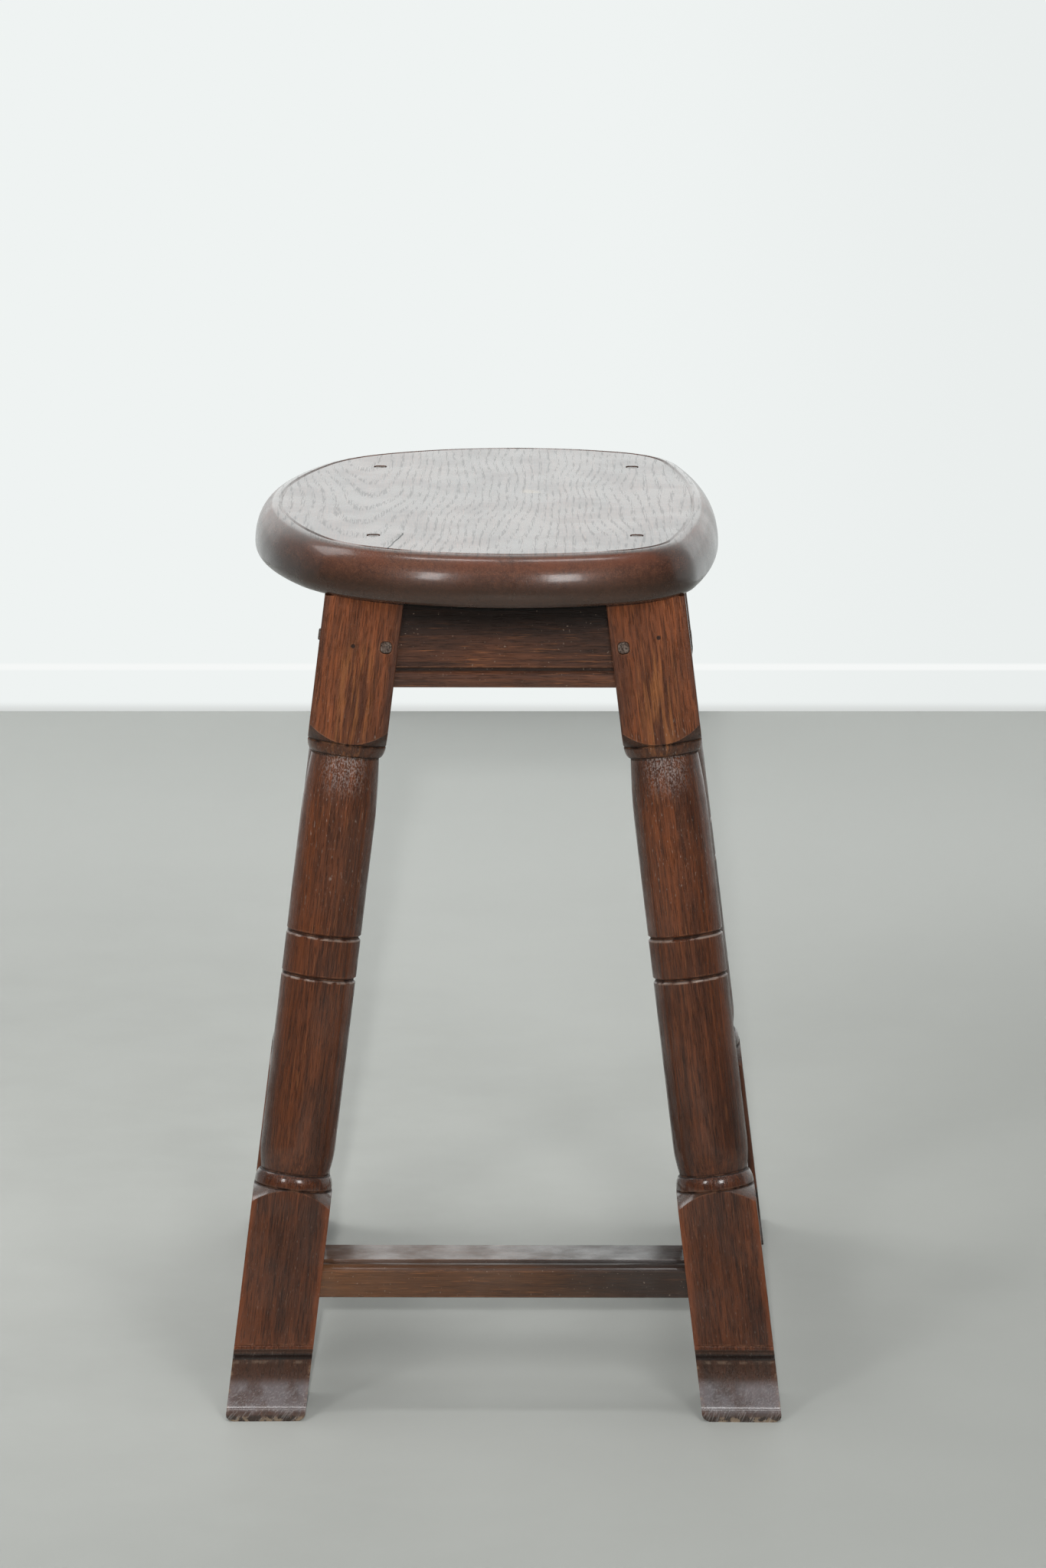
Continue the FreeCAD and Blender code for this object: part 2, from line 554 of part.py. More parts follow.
# The board with its nose: the outline drawn again at each level, from the underside over the
# nose, down into the incised line and up again to the flat field.
levels = [(size("seat_nose_width") * inset_share, size("seat_thick") * height_share)
          for inset_share, height_share in NOSE_SHARES]
levels.append((size("seat_nose_width") + size("seat_quirk_width") / 2, size("seat_thick") - size("seat_quirk_depth")))
levels.append((size("seat_nose_width") + size("seat_quirk_width"), size("seat_thick")))
sections = []
for number, (inset, height) in enumerate(levels, start=1):
    level = doc.addObject("Part::Feature", "seat_level_%d" % number)
    level.Shape = seat_outline(inset)
    level.Placement = Placement(Vector(0, 0, size("frame_height") + height), Rotation())
    sections.append(level)
board = doc.addObject("Part::Loft", "seat_board")
board.Sections = sections
board.Solid = True
board.Ruled = True
seat = join("Cut", "seat_drilled", board, gather("seat_hole_set", list(seat_holes.values())))
nodes.append(labelled(seat, "seat_top"))

doc.recompute()

# Every object has to be sound, and every piece a valid solid, before anything is written.
faults = []
for item in doc.Objects:
    if "Invalid" in item.State or "Error" in item.State:
        faults.append("%s: %s" % (item.Label, item.State))
group_counts = {"pegs_end_rails": len(LEGS), "pegs_side_rails": len(LEGS), "pegs_seat": len(LEGS)}
for item in nodes:
    shape = item.Shape
    if shape.isNull() or not shape.isValid():
        faults.append("%s has no valid shape" % item.Label)
    elif len(shape.Solids) != group_counts.get(item.Label, 1):
        faults.append("%s has %d solids" % (item.Label, len(shape.Solids)))
if not seat.Shape.Volume < board.Shape.Volume:
    faults.append("the seat was not drilled for its pegs")
if faults:
    raise ValueError("; ".join(faults))

os.makedirs("parts", exist_ok=True)
for item in nodes:
    item.Shape.exportStep("parts/%s.step" % item.Label)
    box = item.Shape.BoundBox
    print("%-18s %9.1f mm3  x %7.1f %7.1f  y %7.1f %7.1f  z %6.1f %6.1f" % (
        item.Label, item.Shape.Volume, box.XMin, box.XMax, box.YMin, box.YMax, box.ZMin, box.ZMax))
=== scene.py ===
import math

import bpy
from mathutils import Matrix, Vector


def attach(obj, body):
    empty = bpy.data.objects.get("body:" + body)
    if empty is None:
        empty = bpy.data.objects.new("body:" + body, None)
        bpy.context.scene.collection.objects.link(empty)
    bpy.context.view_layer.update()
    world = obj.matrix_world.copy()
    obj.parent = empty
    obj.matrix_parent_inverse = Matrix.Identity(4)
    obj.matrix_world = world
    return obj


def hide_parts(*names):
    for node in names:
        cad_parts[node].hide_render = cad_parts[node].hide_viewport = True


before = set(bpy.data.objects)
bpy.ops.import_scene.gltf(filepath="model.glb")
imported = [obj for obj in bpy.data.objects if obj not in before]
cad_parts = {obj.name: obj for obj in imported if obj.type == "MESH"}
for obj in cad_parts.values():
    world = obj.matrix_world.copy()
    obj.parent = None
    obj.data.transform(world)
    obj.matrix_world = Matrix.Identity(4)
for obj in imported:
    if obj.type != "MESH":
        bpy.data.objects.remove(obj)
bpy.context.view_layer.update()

# Legs. Four lengths of square oak, turned between two blocks that are left square, the arrises
# rolled over where the turning runs out. Each leans in both ways under the seat, ends in a moulded
# toe on its outer end face only, and is sawn level at the floor and under the seat.
leg_square = 0.0516
half_square = leg_square / 2
arris_radius = half_square * math.sqrt(2)
frame_height = 0.536
lean_across = 0.1222
lean_along = 0.1264
leg_half_span = 0.1566
leg_half_reach = 0.1992
leg_length = frame_height * math.sqrt(1 + lean_across**2 + lean_along**2)
stock_spare = 0.024
turning_clear = 0.060
turning_steps = 96
low_corner = 0.1364
low_shoulder_rise = 0.0106
collar_height = 0.0098
column_foot_radius = 0.0223
column_foot_rise = 0.019
column_radius = 0.0245
ring_heights = (0.28747, 0.31537)
ring_width = 0.0036
ring_depth = 0.0016
neck_height = 0.43437
neck_radius = 0.0221
neck_rise = 0.040
neck_bead_height = 0.008
high_corner = 0.45437
shoulder_steps = 12
shoulder_power = 1.25
bead_steps = 14
bead_start = 0.06
bead_power = 2.2
bead_flatness = 0.6
neck_power = 1.7
shoulder_line_radius = 0.0250
full_bead_radius = 0.0257
toe_reach = 0.013
toe_top = 0.002
band_top = 0.0437
band_setback = 0.001
band_height = 0.0039
sunk_line_height = 0.0036
sunk_line_depth = 0.0034
cove_start = 0.0018
cove_top = 0.0350
cove_radius = 0.040
toe_corner_round = 0.0062
arris_round = 0.0014
edge_drop = 0.0002
edge_in = 0.0003
edge_rise = 0.0004
edge_slope = 0.0005
edge_round = 0.0006
band_radius = 0.004
toe_lip_in = 0.0018
toe_lip_rise = 0.0014
toe_lip_drop = 0.0022
toe_lip_radius = 0.0032
longest_edges = 0.3
toe_edges = 0.03
near_floor = 0.0001
merge_within = 0.000002
smooth_angle = math.radians(34)


def start_line(name, points):
    """A new object with one open line of edges, drawn point by point; it stays in edit mode."""
    bpy.ops.object.select_all(action="DESELECT")
    bpy.ops.mesh.primitive_plane_add(size=0.01)
    piece = bpy.context.object
    piece.name = name
    bpy.ops.object.mode_set(mode="EDIT")
    bpy.ops.mesh.select_mode(type="VERT")
    bpy.ops.mesh.select_all(action="SELECT")
    bpy.ops.mesh.merge(type="CENTER")
    spots = [Vector(p) for p in points]
    bpy.ops.transform.translate(value=spots[0])
    for here, there in zip(spots, spots[1:]):
        bpy.ops.mesh.extrude_vertices_move(TRANSFORM_OT_translate={"value": there - here})
    return piece


def turned(name, outline, steps):
    """A solid of revolution from an outline of (radius, height) that starts and ends on the axis."""
    piece = start_line(name, [(r, 0, h) for r, h in outline])
    bpy.ops.mesh.select_all(action="SELECT")
    bpy.ops.mesh.spin(steps=steps, angle=2 * math.pi, center=(0, 0, 0), axis=(0, 0, 1))
    bpy.ops.mesh.select_all(action="SELECT")
    bpy.ops.mesh.remove_doubles(threshold=merge_within)
    bpy.ops.mesh.normals_make_consistent(inside=False)
    bpy.ops.object.mode_set(mode="OBJECT")
    return piece


def planked(name, section, length, rise=0):
    """A length of moulded stuff: a closed section of (y, z) drawn at one end and run along x. It
    climbs by rise per unit of its length."""
    piece = start_line(name, [(-length / 2, y, z - rise * length / 2) for y, z in section])
    bpy.ops.mesh.select_all(action="SELECT")
    bpy.ops.mesh.edge_face_add()
    bpy.ops.mesh.extrude_region_move(TRANSFORM_OT_translate={"value": (length, 0, rise * length)})
    bpy.ops.mesh.select_all(action="SELECT")
    bpy.ops.mesh.normals_make_consistent(inside=False)
    bpy.ops.object.mode_set(mode="OBJECT")
    return piece


def only(piece):
    """Makes the piece the only selected and the active object."""
    bpy.ops.object.select_all(action="DESELECT")
    piece.select_set(True)
    bpy.context.view_layer.objects.active = piece


def cut_by(piece, tool, operation):
    """Joins, cuts or intersects the piece with a tool, which is then thrown away."""
    only(piece)
    change = piece.modifiers.new("cut", "BOOLEAN")
    change.operation = operation
    change.solver = "EXACT"
    change.object = tool
    bpy.ops.object.modifier_apply(modifier=change.name)
    bpy.data.objects.remove(tool)


def sawn(piece, through, outward):
    """Saws the piece off at a plane and keeps what lies behind it."""
    only(piece)
    bpy.ops.object.mode_set(mode="EDIT")
    bpy.ops.mesh.select_all(action="SELECT")
    bpy.ops.mesh.bisect(plane_co=through, plane_no=outward, use_fill=True, clear_outer=True)
    bpy.ops.object.mode_set(mode="OBJECT")


def eased(piece, wanted, width, steps):
    """Rounds the edges of a piece that the wanted test picks by their two ends."""
    only(piece)
    bpy.ops.object.mode_set(mode="EDIT")
    bpy.ops.mesh.select_mode(type="EDGE")
    bpy.ops.mesh.select_all(action="DESELECT")
    bpy.ops.object.mode_set(mode="OBJECT")
    spots = piece.data.vertices
    for edge in piece.data.edges:
        edge.select = wanted(spots[edge.vertices[0]].co, spots[edge.vertices[1]].co)
    bpy.ops.object.mode_set(mode="EDIT")
    bpy.ops.mesh.bevel(offset=width, segments=steps, affect="EDGES")
    bpy.ops.mesh.select_mode(type="VERT")
    bpy.ops.object.mode_set(mode="OBJECT")


def placed(piece, place):
    """Stands a piece in its place for good, with its object left at the origin."""
    only(piece)
    piece.matrix_world = place
    bpy.ops.object.transform_apply(location=True, rotation=True, scale=True)


def finished(piece, node):
    """Smooths a piece, hangs it on the body and lets it stand for its node."""
    only(piece)
    bpy.ops.object.shade_smooth_by_angle(angle=smooth_angle)
    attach(piece, "root")
    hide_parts(node)


def bowed(start, end, radius, steps):
    """Points between start and end on a circle that bows to the left of the run, or to the right
    when the radius is negative."""
    a = Vector(start)
    b = Vector(end)
    along = (b - a).normalized()
    half = (b - a).length / 2
    side = Vector((-along.y, along.x)) * math.copysign(1, radius)
    reach = math.sqrt(radius * radius - half * half)
    centre = (a + b) / 2 - side * reach
    angle = math.asin(half / abs(radius))
    points = []
    for step in range(1, steps):
        turn = -angle + 2 * angle * step / steps
        out = side * abs(radius) * math.cos(turn)
        points.append(tuple(centre + out + along * abs(radius) * math.sin(turn)))
    return points


def shoulder(corner_height, line_height, steps):
    """The rolled shoulder from the stock's corner down or up to the fine line beside the bead."""
    points = []
    for step in range(steps + 1):
        share = step / steps
        radius = arris_radius - (arris_radius - shoulder_line_radius) * share**shoulder_power
        points.append((radius, corner_height + (line_height - corner_height) * share))
    return points


def quarter_bead(line_height, thin_radius, thin_height, steps):
    """A bead that is full beside the fine line and falls away in a quarter round."""
    points = [(full_bead_radius, line_height + (thin_height - line_height) * bead_start)]
    for step in range(1, steps):
        share = bead_start + (1 - bead_start) * step / steps
        swell = (full_bead_radius - thin_radius) * (1 - share**bead_power)**bead_flatness
        points.append((thin_radius + swell, line_height + (thin_height - line_height) * share))
    return points + [(thin_radius, thin_height)]


low_line = low_corner + low_shoulder_rise
collar_top = low_line + collar_height
high_line = neck_height + neck_bead_height
turned_outline = [(0, -stock_spare * 2), (turning_clear, -stock_spare * 2), (turning_clear, low_corner)]
turned_outline += shoulder(low_corner, low_line, shoulder_steps)
turned_outline += quarter_bead(low_line, column_foot_radius, collar_top, bead_steps)
for share in (0.15, 0.3, 0.5, 0.7, 0.85, 1):
    swell = (column_radius - column_foot_radius) * math.sin(share * math.pi / 2)
    turned_outline.append((column_foot_radius + swell, collar_top + column_foot_rise * share))
for height in ring_heights:
    for width_share, depth_share in ((-0.5, 0), (-0.22, 0.7), (0, 1), (0.22, 0.7), (0.5, 0)):
        radius = column_radius - ring_depth * depth_share
        turned_outline.append((radius, height + ring_width * width_share))
for share in (0, 0.2, 0.4, 0.6, 0.8, 0.92, 1):
    thinning = (column_radius - neck_radius) * share**neck_power
    turned_outline.append((column_radius - thinning, neck_height - neck_rise * (1 - share)))
turned_outline += quarter_bead(high_line, neck_radius, neck_height, bead_steps)[-2::-1]
turned_outline += shoulder(high_corner, high_line, shoulder_steps)[::-1]
turned_outline += [(turning_clear, high_corner), (turning_clear, leg_length + stock_spare * 2)]
turned_outline += [(0, leg_length + stock_spare * 2)]

face = -half_square
band_low = band_top - band_height
sunk_low = band_low - sunk_line_height
leg_side = [(half_square, -stock_spare), (half_square, leg_length + stock_spare)]
leg_side += [(face, leg_length + stock_spare), (face, band_top + edge_rise), (face + edge_in, band_top)]
band_face = face + band_setback
leg_side += [(band_face, band_top - edge_drop)]
leg_side += bowed((band_face, band_top - edge_rise), (band_face, band_low), -band_radius, 6)
leg_side += [(band_face + edge_slope, band_low - edge_drop)]
leg_side += [(face + sunk_line_depth, band_low - edge_round)]
leg_side += [(face + sunk_line_depth, sunk_low + edge_rise)]
cove_high = (face + cove_start, cove_top)
cove_end = (face - toe_reach + toe_lip_in, toe_top + toe_lip_rise)
toe_end = (face - toe_reach, toe_top - toe_lip_drop)
leg_side += [(face + cove_start + edge_in, cove_top + edge_in), cove_high]
leg_side += bowed(cove_high, cove_end, cove_radius, 18) + [cove_end]
leg_side += bowed(cove_end, toe_end, -toe_lip_radius, 5) + [toe_end, (face - toe_reach, -stock_spare)]

leg_places = {
    "leg_front_left": (-1, -1),
    "leg_front_right": (1, -1),
    "leg_rear_left": (-1, 1),
    "leg_rear_right": (1, 1),
}


def leg_place(side, end):
    """Where a leg stands: its axis leans in both ways and its toe looks out of the stool's end."""
    axis = Vector((-side * lean_across, -end * lean_along, 1)).normalized()
    across = Vector((axis.z, 0, -axis.x)).normalized() * -end
    along = axis.cross(across)
    place = Matrix((across, along, axis)).transposed().to_4x4()
    place.translation = Vector((side * leg_half_span, end * leg_half_reach, 0))
    return place


legs = {}
level = lean_across * math.sqrt(1 + lean_across**2 + lean_along**2) / math.sqrt(1 + lean_across**2)
for name, (side, end) in leg_places.items():
    leg = planked(name + "_turned", leg_side, leg_square, side * end * level)
    eased(leg, lambda a, b: abs(a.z - b.z) > longest_edges, arris_round, 3)
    cut_by(leg, turned("turning", turned_outline, turning_steps), "INTERSECT")
    placed(leg, leg_place(side, end))
    sawn(leg, (0, 0, frame_height), (0, 0, 1))
    sawn(leg, (0, 0, 0), (0, 0, -1))
    eased(leg, lambda a, b: max(a.z, b.z) < near_floor and abs(a.y - b.y) > toe_edges, toe_corner_round, 5)
    legs[name] = leg
    finished(leg, name)


def tone(red, green, blue):
    """A colour as it looks on a screen, 0 to 255, turned into the light values that shaders use."""
    parts = [part / 255 for part in (red, green, blue)]
    return tuple([part / 12.92 if part < 0.04 else ((part + 0.055) / 1.055)**2.4 for part in parts] + [1.0])


def knot(kind, feeds, tree=None, **options):
    """Adds a shader node where its feeds come from, or to the given tree, and feeds its sockets."""
    for feed in feeds.values():
        if isinstance(feed, bpy.types.NodeSocket):
            tree = feed.id_data
    fresh = tree.nodes.new("ShaderNode" + kind)
    for option, value in options.items():
        setattr(fresh, option, value)
    for socket, feed in feeds.items():
        if isinstance(feed, bpy.types.NodeSocket):
            tree.links.new(feed, fresh.inputs[socket])
        else:
            fresh.inputs[socket].default_value = feed
    return fresh


def reckon(operation, first, second=0.0):
    """One sum."""
    return knot("Math", {0: first, 1: second}, operation=operation).outputs[0]


def less(first, second):
    """The first less the second."""
    return reckon("SUBTRACT", first, second)


def both(*masks):
    """Where all of the masks hold."""
    result = masks[0]
    for mask in masks[1:]:
        result = reckon("MULTIPLY", result, mask)
    return result


def either(*masks):
    """Where any of the masks holds."""
    result = masks[0]
    for mask in masks[1:]:
        result = reckon("MAXIMUM", result, mask)
    return result


def fade(value, start, end, low=0.0, high=1.0):
    """A mask that goes softly from low to high while the value goes from start to end."""
    feeds = {"Value": value, "From Min": start, "From Max": end, "To Min": low, "To Max": high}
    return knot("MapRange", feeds, interpolation_type="SMOOTHSTEP").outputs[0]


def near(value, middle, reach, soft):
    """A mask for the places where the value is within reach of a middle."""
    return fade(reckon("ABSOLUTE", less(value, middle)), reach + soft, reach)


def cloudy(place, size, detail=2.0, rough=0.5, bent=0.0):
    """Soft noise whose blotches are about size metres across."""
    feeds = {"Vector": place, "Scale": 1 / size, "Detail": detail, "Roughness": rough, "Distortion": bent}
    return knot("TexNoise", feeds).outputs[0]


def drawn_out(place, along):
    """Coordinates in which a pattern comes out longer along the grain."""
    return knot("Mapping", {"Vector": place, "Scale": (1, 1, along)}).outputs[0]


def shifted(place, lot):
    """A place moved by a piece's own lot, so that no two pieces share their grain."""
    off = knot("CombineXYZ", {0: lot, 1: lot, 2: lot}).outputs[0]
    return knot("VectorMath", {0: place, 1: off}).outputs[0]


def tinted(share, under, over, blend="MIX"):
    """Lays one colour over another."""
    return knot("Mix", {0: share, 6: under, 7: over}, data_type="RGBA", blend_type=blend).outputs[2]


def laid(under, colour, *masks):
    """Lays a screen colour over another where all of the masks hold."""
    return tinted(both(*masks), under, tone(*colour))


def grouped(name, takes, gives):
    """A new shader group; returns it, what it takes and what it gives."""
    group = bpy.data.node_groups.new(name, "ShaderNodeTree")
    for socket, value in takes.items():
        kind = "Float" if isinstance(value, float) else "Color" if len(value) == 4 else "Vector"
        fresh = group.interface.new_socket(socket, in_out="INPUT", socket_type="NodeSocket" + kind)
        fresh.default_value = value
    for socket, kind in gives.items():
        group.interface.new_socket(socket, in_out="OUTPUT", socket_type="NodeSocket" + kind)
    return group, group.nodes.new("NodeGroupInput").outputs, group.nodes.new("NodeGroupOutput").inputs


def handed(gives, results):
    """Gives a group its results."""
    for socket, result in results.items():
        result.id_data.links.new(result, gives[socket])


# Oak under old dark stain: streaks and fibres that run along the grain, and long open pores.
grain_takes = {"Place": (0.0, 0.0, 0.0), "Dark": tone(62, 32, 18), "Mid": tone(100, 56, 33)}
grain_takes.update({"Warm": tone(136, 74, 40), "Warmth": 0.75, "Pores": 0.45})
oak_grain, takes, gives = grouped("oak_grain", grain_takes, {"Color": "Color", "Height": "Float"})
long_way = drawn_out(takes["Place"], 0.035)
streaks = cloudy(long_way, 0.0034, 4.0, 0.65, 0.1)
fibres = cloudy(long_way, 0.0009, 3.0, 0.7)
blotches = cloudy(drawn_out(takes["Place"], 0.4), 0.045, 2.0)
open_pores = fade(cloudy(drawn_out(takes["Place"], 0.07), 0.0007, 1.0), 0.56, 0.68)
mixed = reckon("ADD", both(streaks, 0.5), both(blotches, 0.5))
wood = tinted(fade(mixed, 0.26, 0.56), takes["Dark"], takes["Mid"])
wood = tinted(both(fade(mixed, 0.44, 0.64), takes["Warmth"]), wood, takes["Warm"])
fibre_light = fade(fibres, 0.28, 0.72, 0.68, 1.24)
fibre_tone = knot("CombineXYZ", {0: fibre_light, 1: fibre_light, 2: fibre_light}).outputs[0]
wood = tinted(1.0, wood, fibre_tone, "MULTIPLY")
hair_way = knot("VectorMath", {0: long_way, 1: (3.1, 1.7, 0.0)}).outputs[0]
hairs = fade(cloudy(hair_way, 0.00085, 2.0, 0.6), 0.60, 0.70)
wood = laid(wood, (176, 112, 68), hairs, takes["Warmth"], 0.42)
pore_share = both(open_pores, takes["Pores"])
wood = laid(wood, (30, 19, 14), pore_share)
handed(gives, {"Color": wood, "Height": less(both(fibres, 0.45), pore_share)})

# Arrises and mouldings that hands and feet have rubbed: a broken line wherever the wood turns.
worn_takes = {"Place": (0.0, 0.0, 0.0), "Width": 0.002, "Breaks": 0.5}
worn_edges, takes, gives = grouped("worn_edges", worn_takes, {"Worn": "Float"})
rounded = knot("Bevel", {"Radius": takes["Width"]}, samples=4).outputs[0]
true_normal = knot("NewGeometry", {}, worn_edges).outputs["Normal"]
agreement = knot("VectorMath", {0: rounded, 1: true_normal}, operation="DOT_PRODUCT").outputs["Value"]
broken = reckon("ADD", cloudy(takes["Place"], 0.006, 3.0, 0.6), takes["Breaks"])
handed(gives, {"Worn": both(fade(agreement, 0.995, 0.90), fade(broken, 0.85, 1.15))})


def worn_at(place, width, breaks):
    """Where the arrises of a piece are rubbed."""
    feeds = {"Place": place, "Width": width, "Breaks": breaks}
    return knot("Group", feeds, node_tree=worn_edges).outputs[0]



# The finish of a leg, read in the leg's own directions: a lighter upper block, darker turning and
# lower block, near-black patches of painted shade where the shoulders meet the upper blocks and
# patches where they meet the lower blocks, painted shade in the lines, dark feet with painted shade
# in the sunk line and near the floor, a painted silvery reflection in the coves, and scuffs.
look_gives = {"Color": "Color", "Roughness": "Float", "Coat": "Float", "Height": "Float"}
leg_takes = {"Place": (0.0, 0.0, 0.0), "Over floor": 0.0, "Lot": 0.0, "Nail": (0.0, 0.0, -1.0)}
leg_finish, takes, gives = grouped("leg_finish", leg_takes, look_gives)
over_floor = takes["Over floor"]
across, deep, up = knot("SeparateXYZ", {0: takes["Place"]}).outputs
own_place = shifted(takes["Place"], takes["Lot"])
off_across = reckon("ABSOLUTE", across)
off_deep = reckon("ABSOLUTE", deep)
wide = either(off_across, off_deep)
slim = reckon("MINIMUM", off_across, off_deep)
grain = knot("Group", {"Place": own_place}, node_tree=oak_grain)
levels = knot("ValToRGB", {0: reckon("DIVIDE", up, leg_length)})
steps = [(0.0, 0.56), (0.10, 0.36), (0.25, 0.36), (0.28, 0.42)]
steps += [(0.45, 0.47), (0.60, 0.56), (0.80, 0.64), (0.835, 0.82)]
stops = levels.color_ramp.elements
stops[1].position = steps[1][0]
for count, (position, light) in enumerate(steps):
    stop = stops[count] if count < 2 else stops.new(position)
    stop.color = (light, light, light, 1)
wood = tinted(1.0, grain.outputs["Color"], levels.outputs[0], "MULTIPLY")
off_face = fade(wide, half_square - 0.0001, half_square - 0.0006)
# Painted shade: the near-black patches on the upper shoulders, which face down under the blocks.
high_patch_shade = both(near(up, (high_corner + high_line) / 2, 0.0066, 0.001), off_face)
low_patch = both(near(up, (low_corner + low_line) / 2, 0.0062, 0.001), off_face)
wood = laid(wood, (42, 30, 22), high_patch_shade, 0.62)
wood = laid(wood, (70, 50, 38), low_patch, 0.5)
bead_dark = near(up, neck_height + neck_bead_height / 2, neck_bead_height / 2, 0.002)
wood = laid(wood, (52, 34, 24), bead_dark, 0.55)
# Painted shade: near-black in the fine lines beside the beads, in the rings, at the neck and at the collar.
line_shade = near(up, high_line, 0.0006, 0.0009)
for height in (low_line, ring_heights[0], ring_heights[1], neck_height, collar_top):
    line_shade = either(line_shade, near(up, height, 0.0005, 0.0009))
wood = laid(wood, (24, 15, 11), line_shade, 0.85)
# A pale broken line on the lower lip of each ring.
for height in ring_heights:
    pale_lip = near(up, height - ring_width * 0.42, 0.0004, 0.0006)
    wood = laid(wood, (150, 136, 126), pale_lip, fade(cloudy(own_place, 0.006, 2.0), 0.35, 0.6), 0.6)
wood = laid(wood, (150, 104, 78), worn_at(own_place, 0.0016, 0.5), 0.45)
square_part = either(fade(up, low_line, low_corner), fade(up, high_line, high_corner))
ragged = both(cloudy(drawn_out(own_place, 0.35), 0.010, 3.0), 0.0045)
arris = both(fade(less(slim, ragged), 0.0185, 0.0222), square_part)
low_part = fade(up, 0.20, 0.15)
wood = laid(wood, (118, 62, 32), arris, low_part, 0.42)
wood = laid(wood, (60, 40, 32), arris, less(1.0, low_part), 0.5)
golden = both(fade(slim, 0.018, 0.004), near(up, high_corner + 0.016, 0.020, 0.03))
golden_streaks = fade(cloudy(drawn_out(own_place, 0.06), 0.0022, 3.0), 0.46, 0.66)
wood = laid(wood, (176, 112, 62), golden, golden_streaks, 0.3)
# Painted highlight: a pale speckled sheen across the front of the neck, where the lamps glint in the wax.
speckled = fade(cloudy(drawn_out(own_place, 0.6), 0.0009, 3.0, 0.6), 0.44, 0.62)
under_neck = fade(up, neck_height + 0.001, neck_height - 0.001)
neck_painted_sheen = both(fade(up, neck_height - 0.032, neck_height - 0.006), under_neck)
neck_painted_sheen = both(neck_painted_sheen, fade(off_across, 0.019, 0.004))
wood = laid(wood, (168, 158, 154), neck_painted_sheen, speckled, 0.42)
from_nail = knot("VectorMath", {0: takes["Place"], 1: takes["Nail"]}, operation="DISTANCE")
wood = laid(wood, (22, 15, 12), fade(from_nail.outputs["Value"], 0.0017, 0.0011), 0.9)
wood = laid(wood, (46, 35, 28), fade(over_floor, band_top, band_top - 0.0006), 0.72)
# Painted reflection: silvery streaks low in the coves of the feet, which face up to the bright room.
cove_reflection = fade(cloudy(drawn_out(own_place, 0.3), 0.012, 3.0), 0.35, 0.60, 0.12, 0.40)
wood = laid(wood, (128, 126, 130), near(over_floor, 0.0135, 0.004, 0.008), cove_reflection)
# Painted shade: the sunk line under the band near-black.
sunk = near(over_floor, band_low - sunk_line_height / 2, sunk_line_height / 2 - 0.0004, 0.0006)
wood = laid(wood, (20, 14, 11), sunk, 0.85)
lip = near(over_floor, cove_top - 0.0004, 0.0006, 0.0008)
chips = fade(cloudy(own_place, 0.005, 3.0, 0.6), 0.45, 0.62)
wood = laid(wood, (140, 120, 102), lip, chips, 0.22)
# Painted shade: a dark ragged band at the foot of the toe, just above the floor.
toe_shade = fade(reckon("ADD", over_floor, both(chips, 0.002)), 0.0052, 0.0030)
wood = laid(wood, (34, 26, 20), toe_shade, 0.8)
foot_arris = both(worn_at(own_place, 0.0035, 0.6), fade(over_floor, cove_top, cove_top - 0.003))
wood = laid(wood, (160, 134, 106), foot_arris, chips, 0.55)
frayed = less(over_floor, both(chips, 0.0035))
wood = laid(wood, (120, 104, 86), fade(frayed, 0.0004, -0.0010), 0.6)
feeds = {"Vector": own_place, "Rotation": (0, -1.05, 0), "Scale": (9, 1, 1)}
scuffed = knot("Mapping", feeds, vector_type="TEXTURE").outputs[0]
scuffs = both(fade(cloudy(scuffed, 0.0010, 2.0), 0.50, 0.66), fade(over_floor, 0.026, 0.012))
wood = laid(wood, (150, 146, 144), scuffs, 0.26)
flecks = fade(cloudy(drawn_out(own_place, 0.28), 0.0010, 1.0), 0.66, 0.78)
fleck_zone = either(near(up, neck_height - 0.040, 0.035, 0.06), fade(up, 0.20, 0.10, 0.0, 0.35))
wood = laid(wood, (146, 132, 122), flecks, fleck_zone, 0.42)
dulled = either(line_shade, both(high_patch_shade, 0.6))
rough = reckon("ADD", fade(cloudy(own_place, 0.012, 3.0, 0.6), 0.3, 0.7, 0.34, 0.52), both(dulled, 0.25))
on_collar = near(up, (low_line + collar_top) / 2, collar_height / 2, 0.001)
polished = either(low_patch, on_collar, fade(over_floor, 0.026, 0.018))
rough = less(rough, both(polished, 0.15))
coat = fade(cloudy(own_place, 0.03, 2.0), 0.35, 0.65, 0.25, 0.65)
coat = both(reckon("ADD", coat, both(polished, 0.6)), less(1.0, dulled))
pitted = cloudy(own_place, 0.0017, 2.0, 0.6)
relief = reckon("ADD", grain.outputs["Height"], both(pitted, 0.5))
relief = less(both(relief, fade(over_floor, 0.030, 0.022, 1.0, 0.35)), both(scuffs, 0.2))
handed(gives, {"Color": wood, "Roughness": rough, "Coat": reckon("MINIMUM", coat, 1.0), "Height": relief})


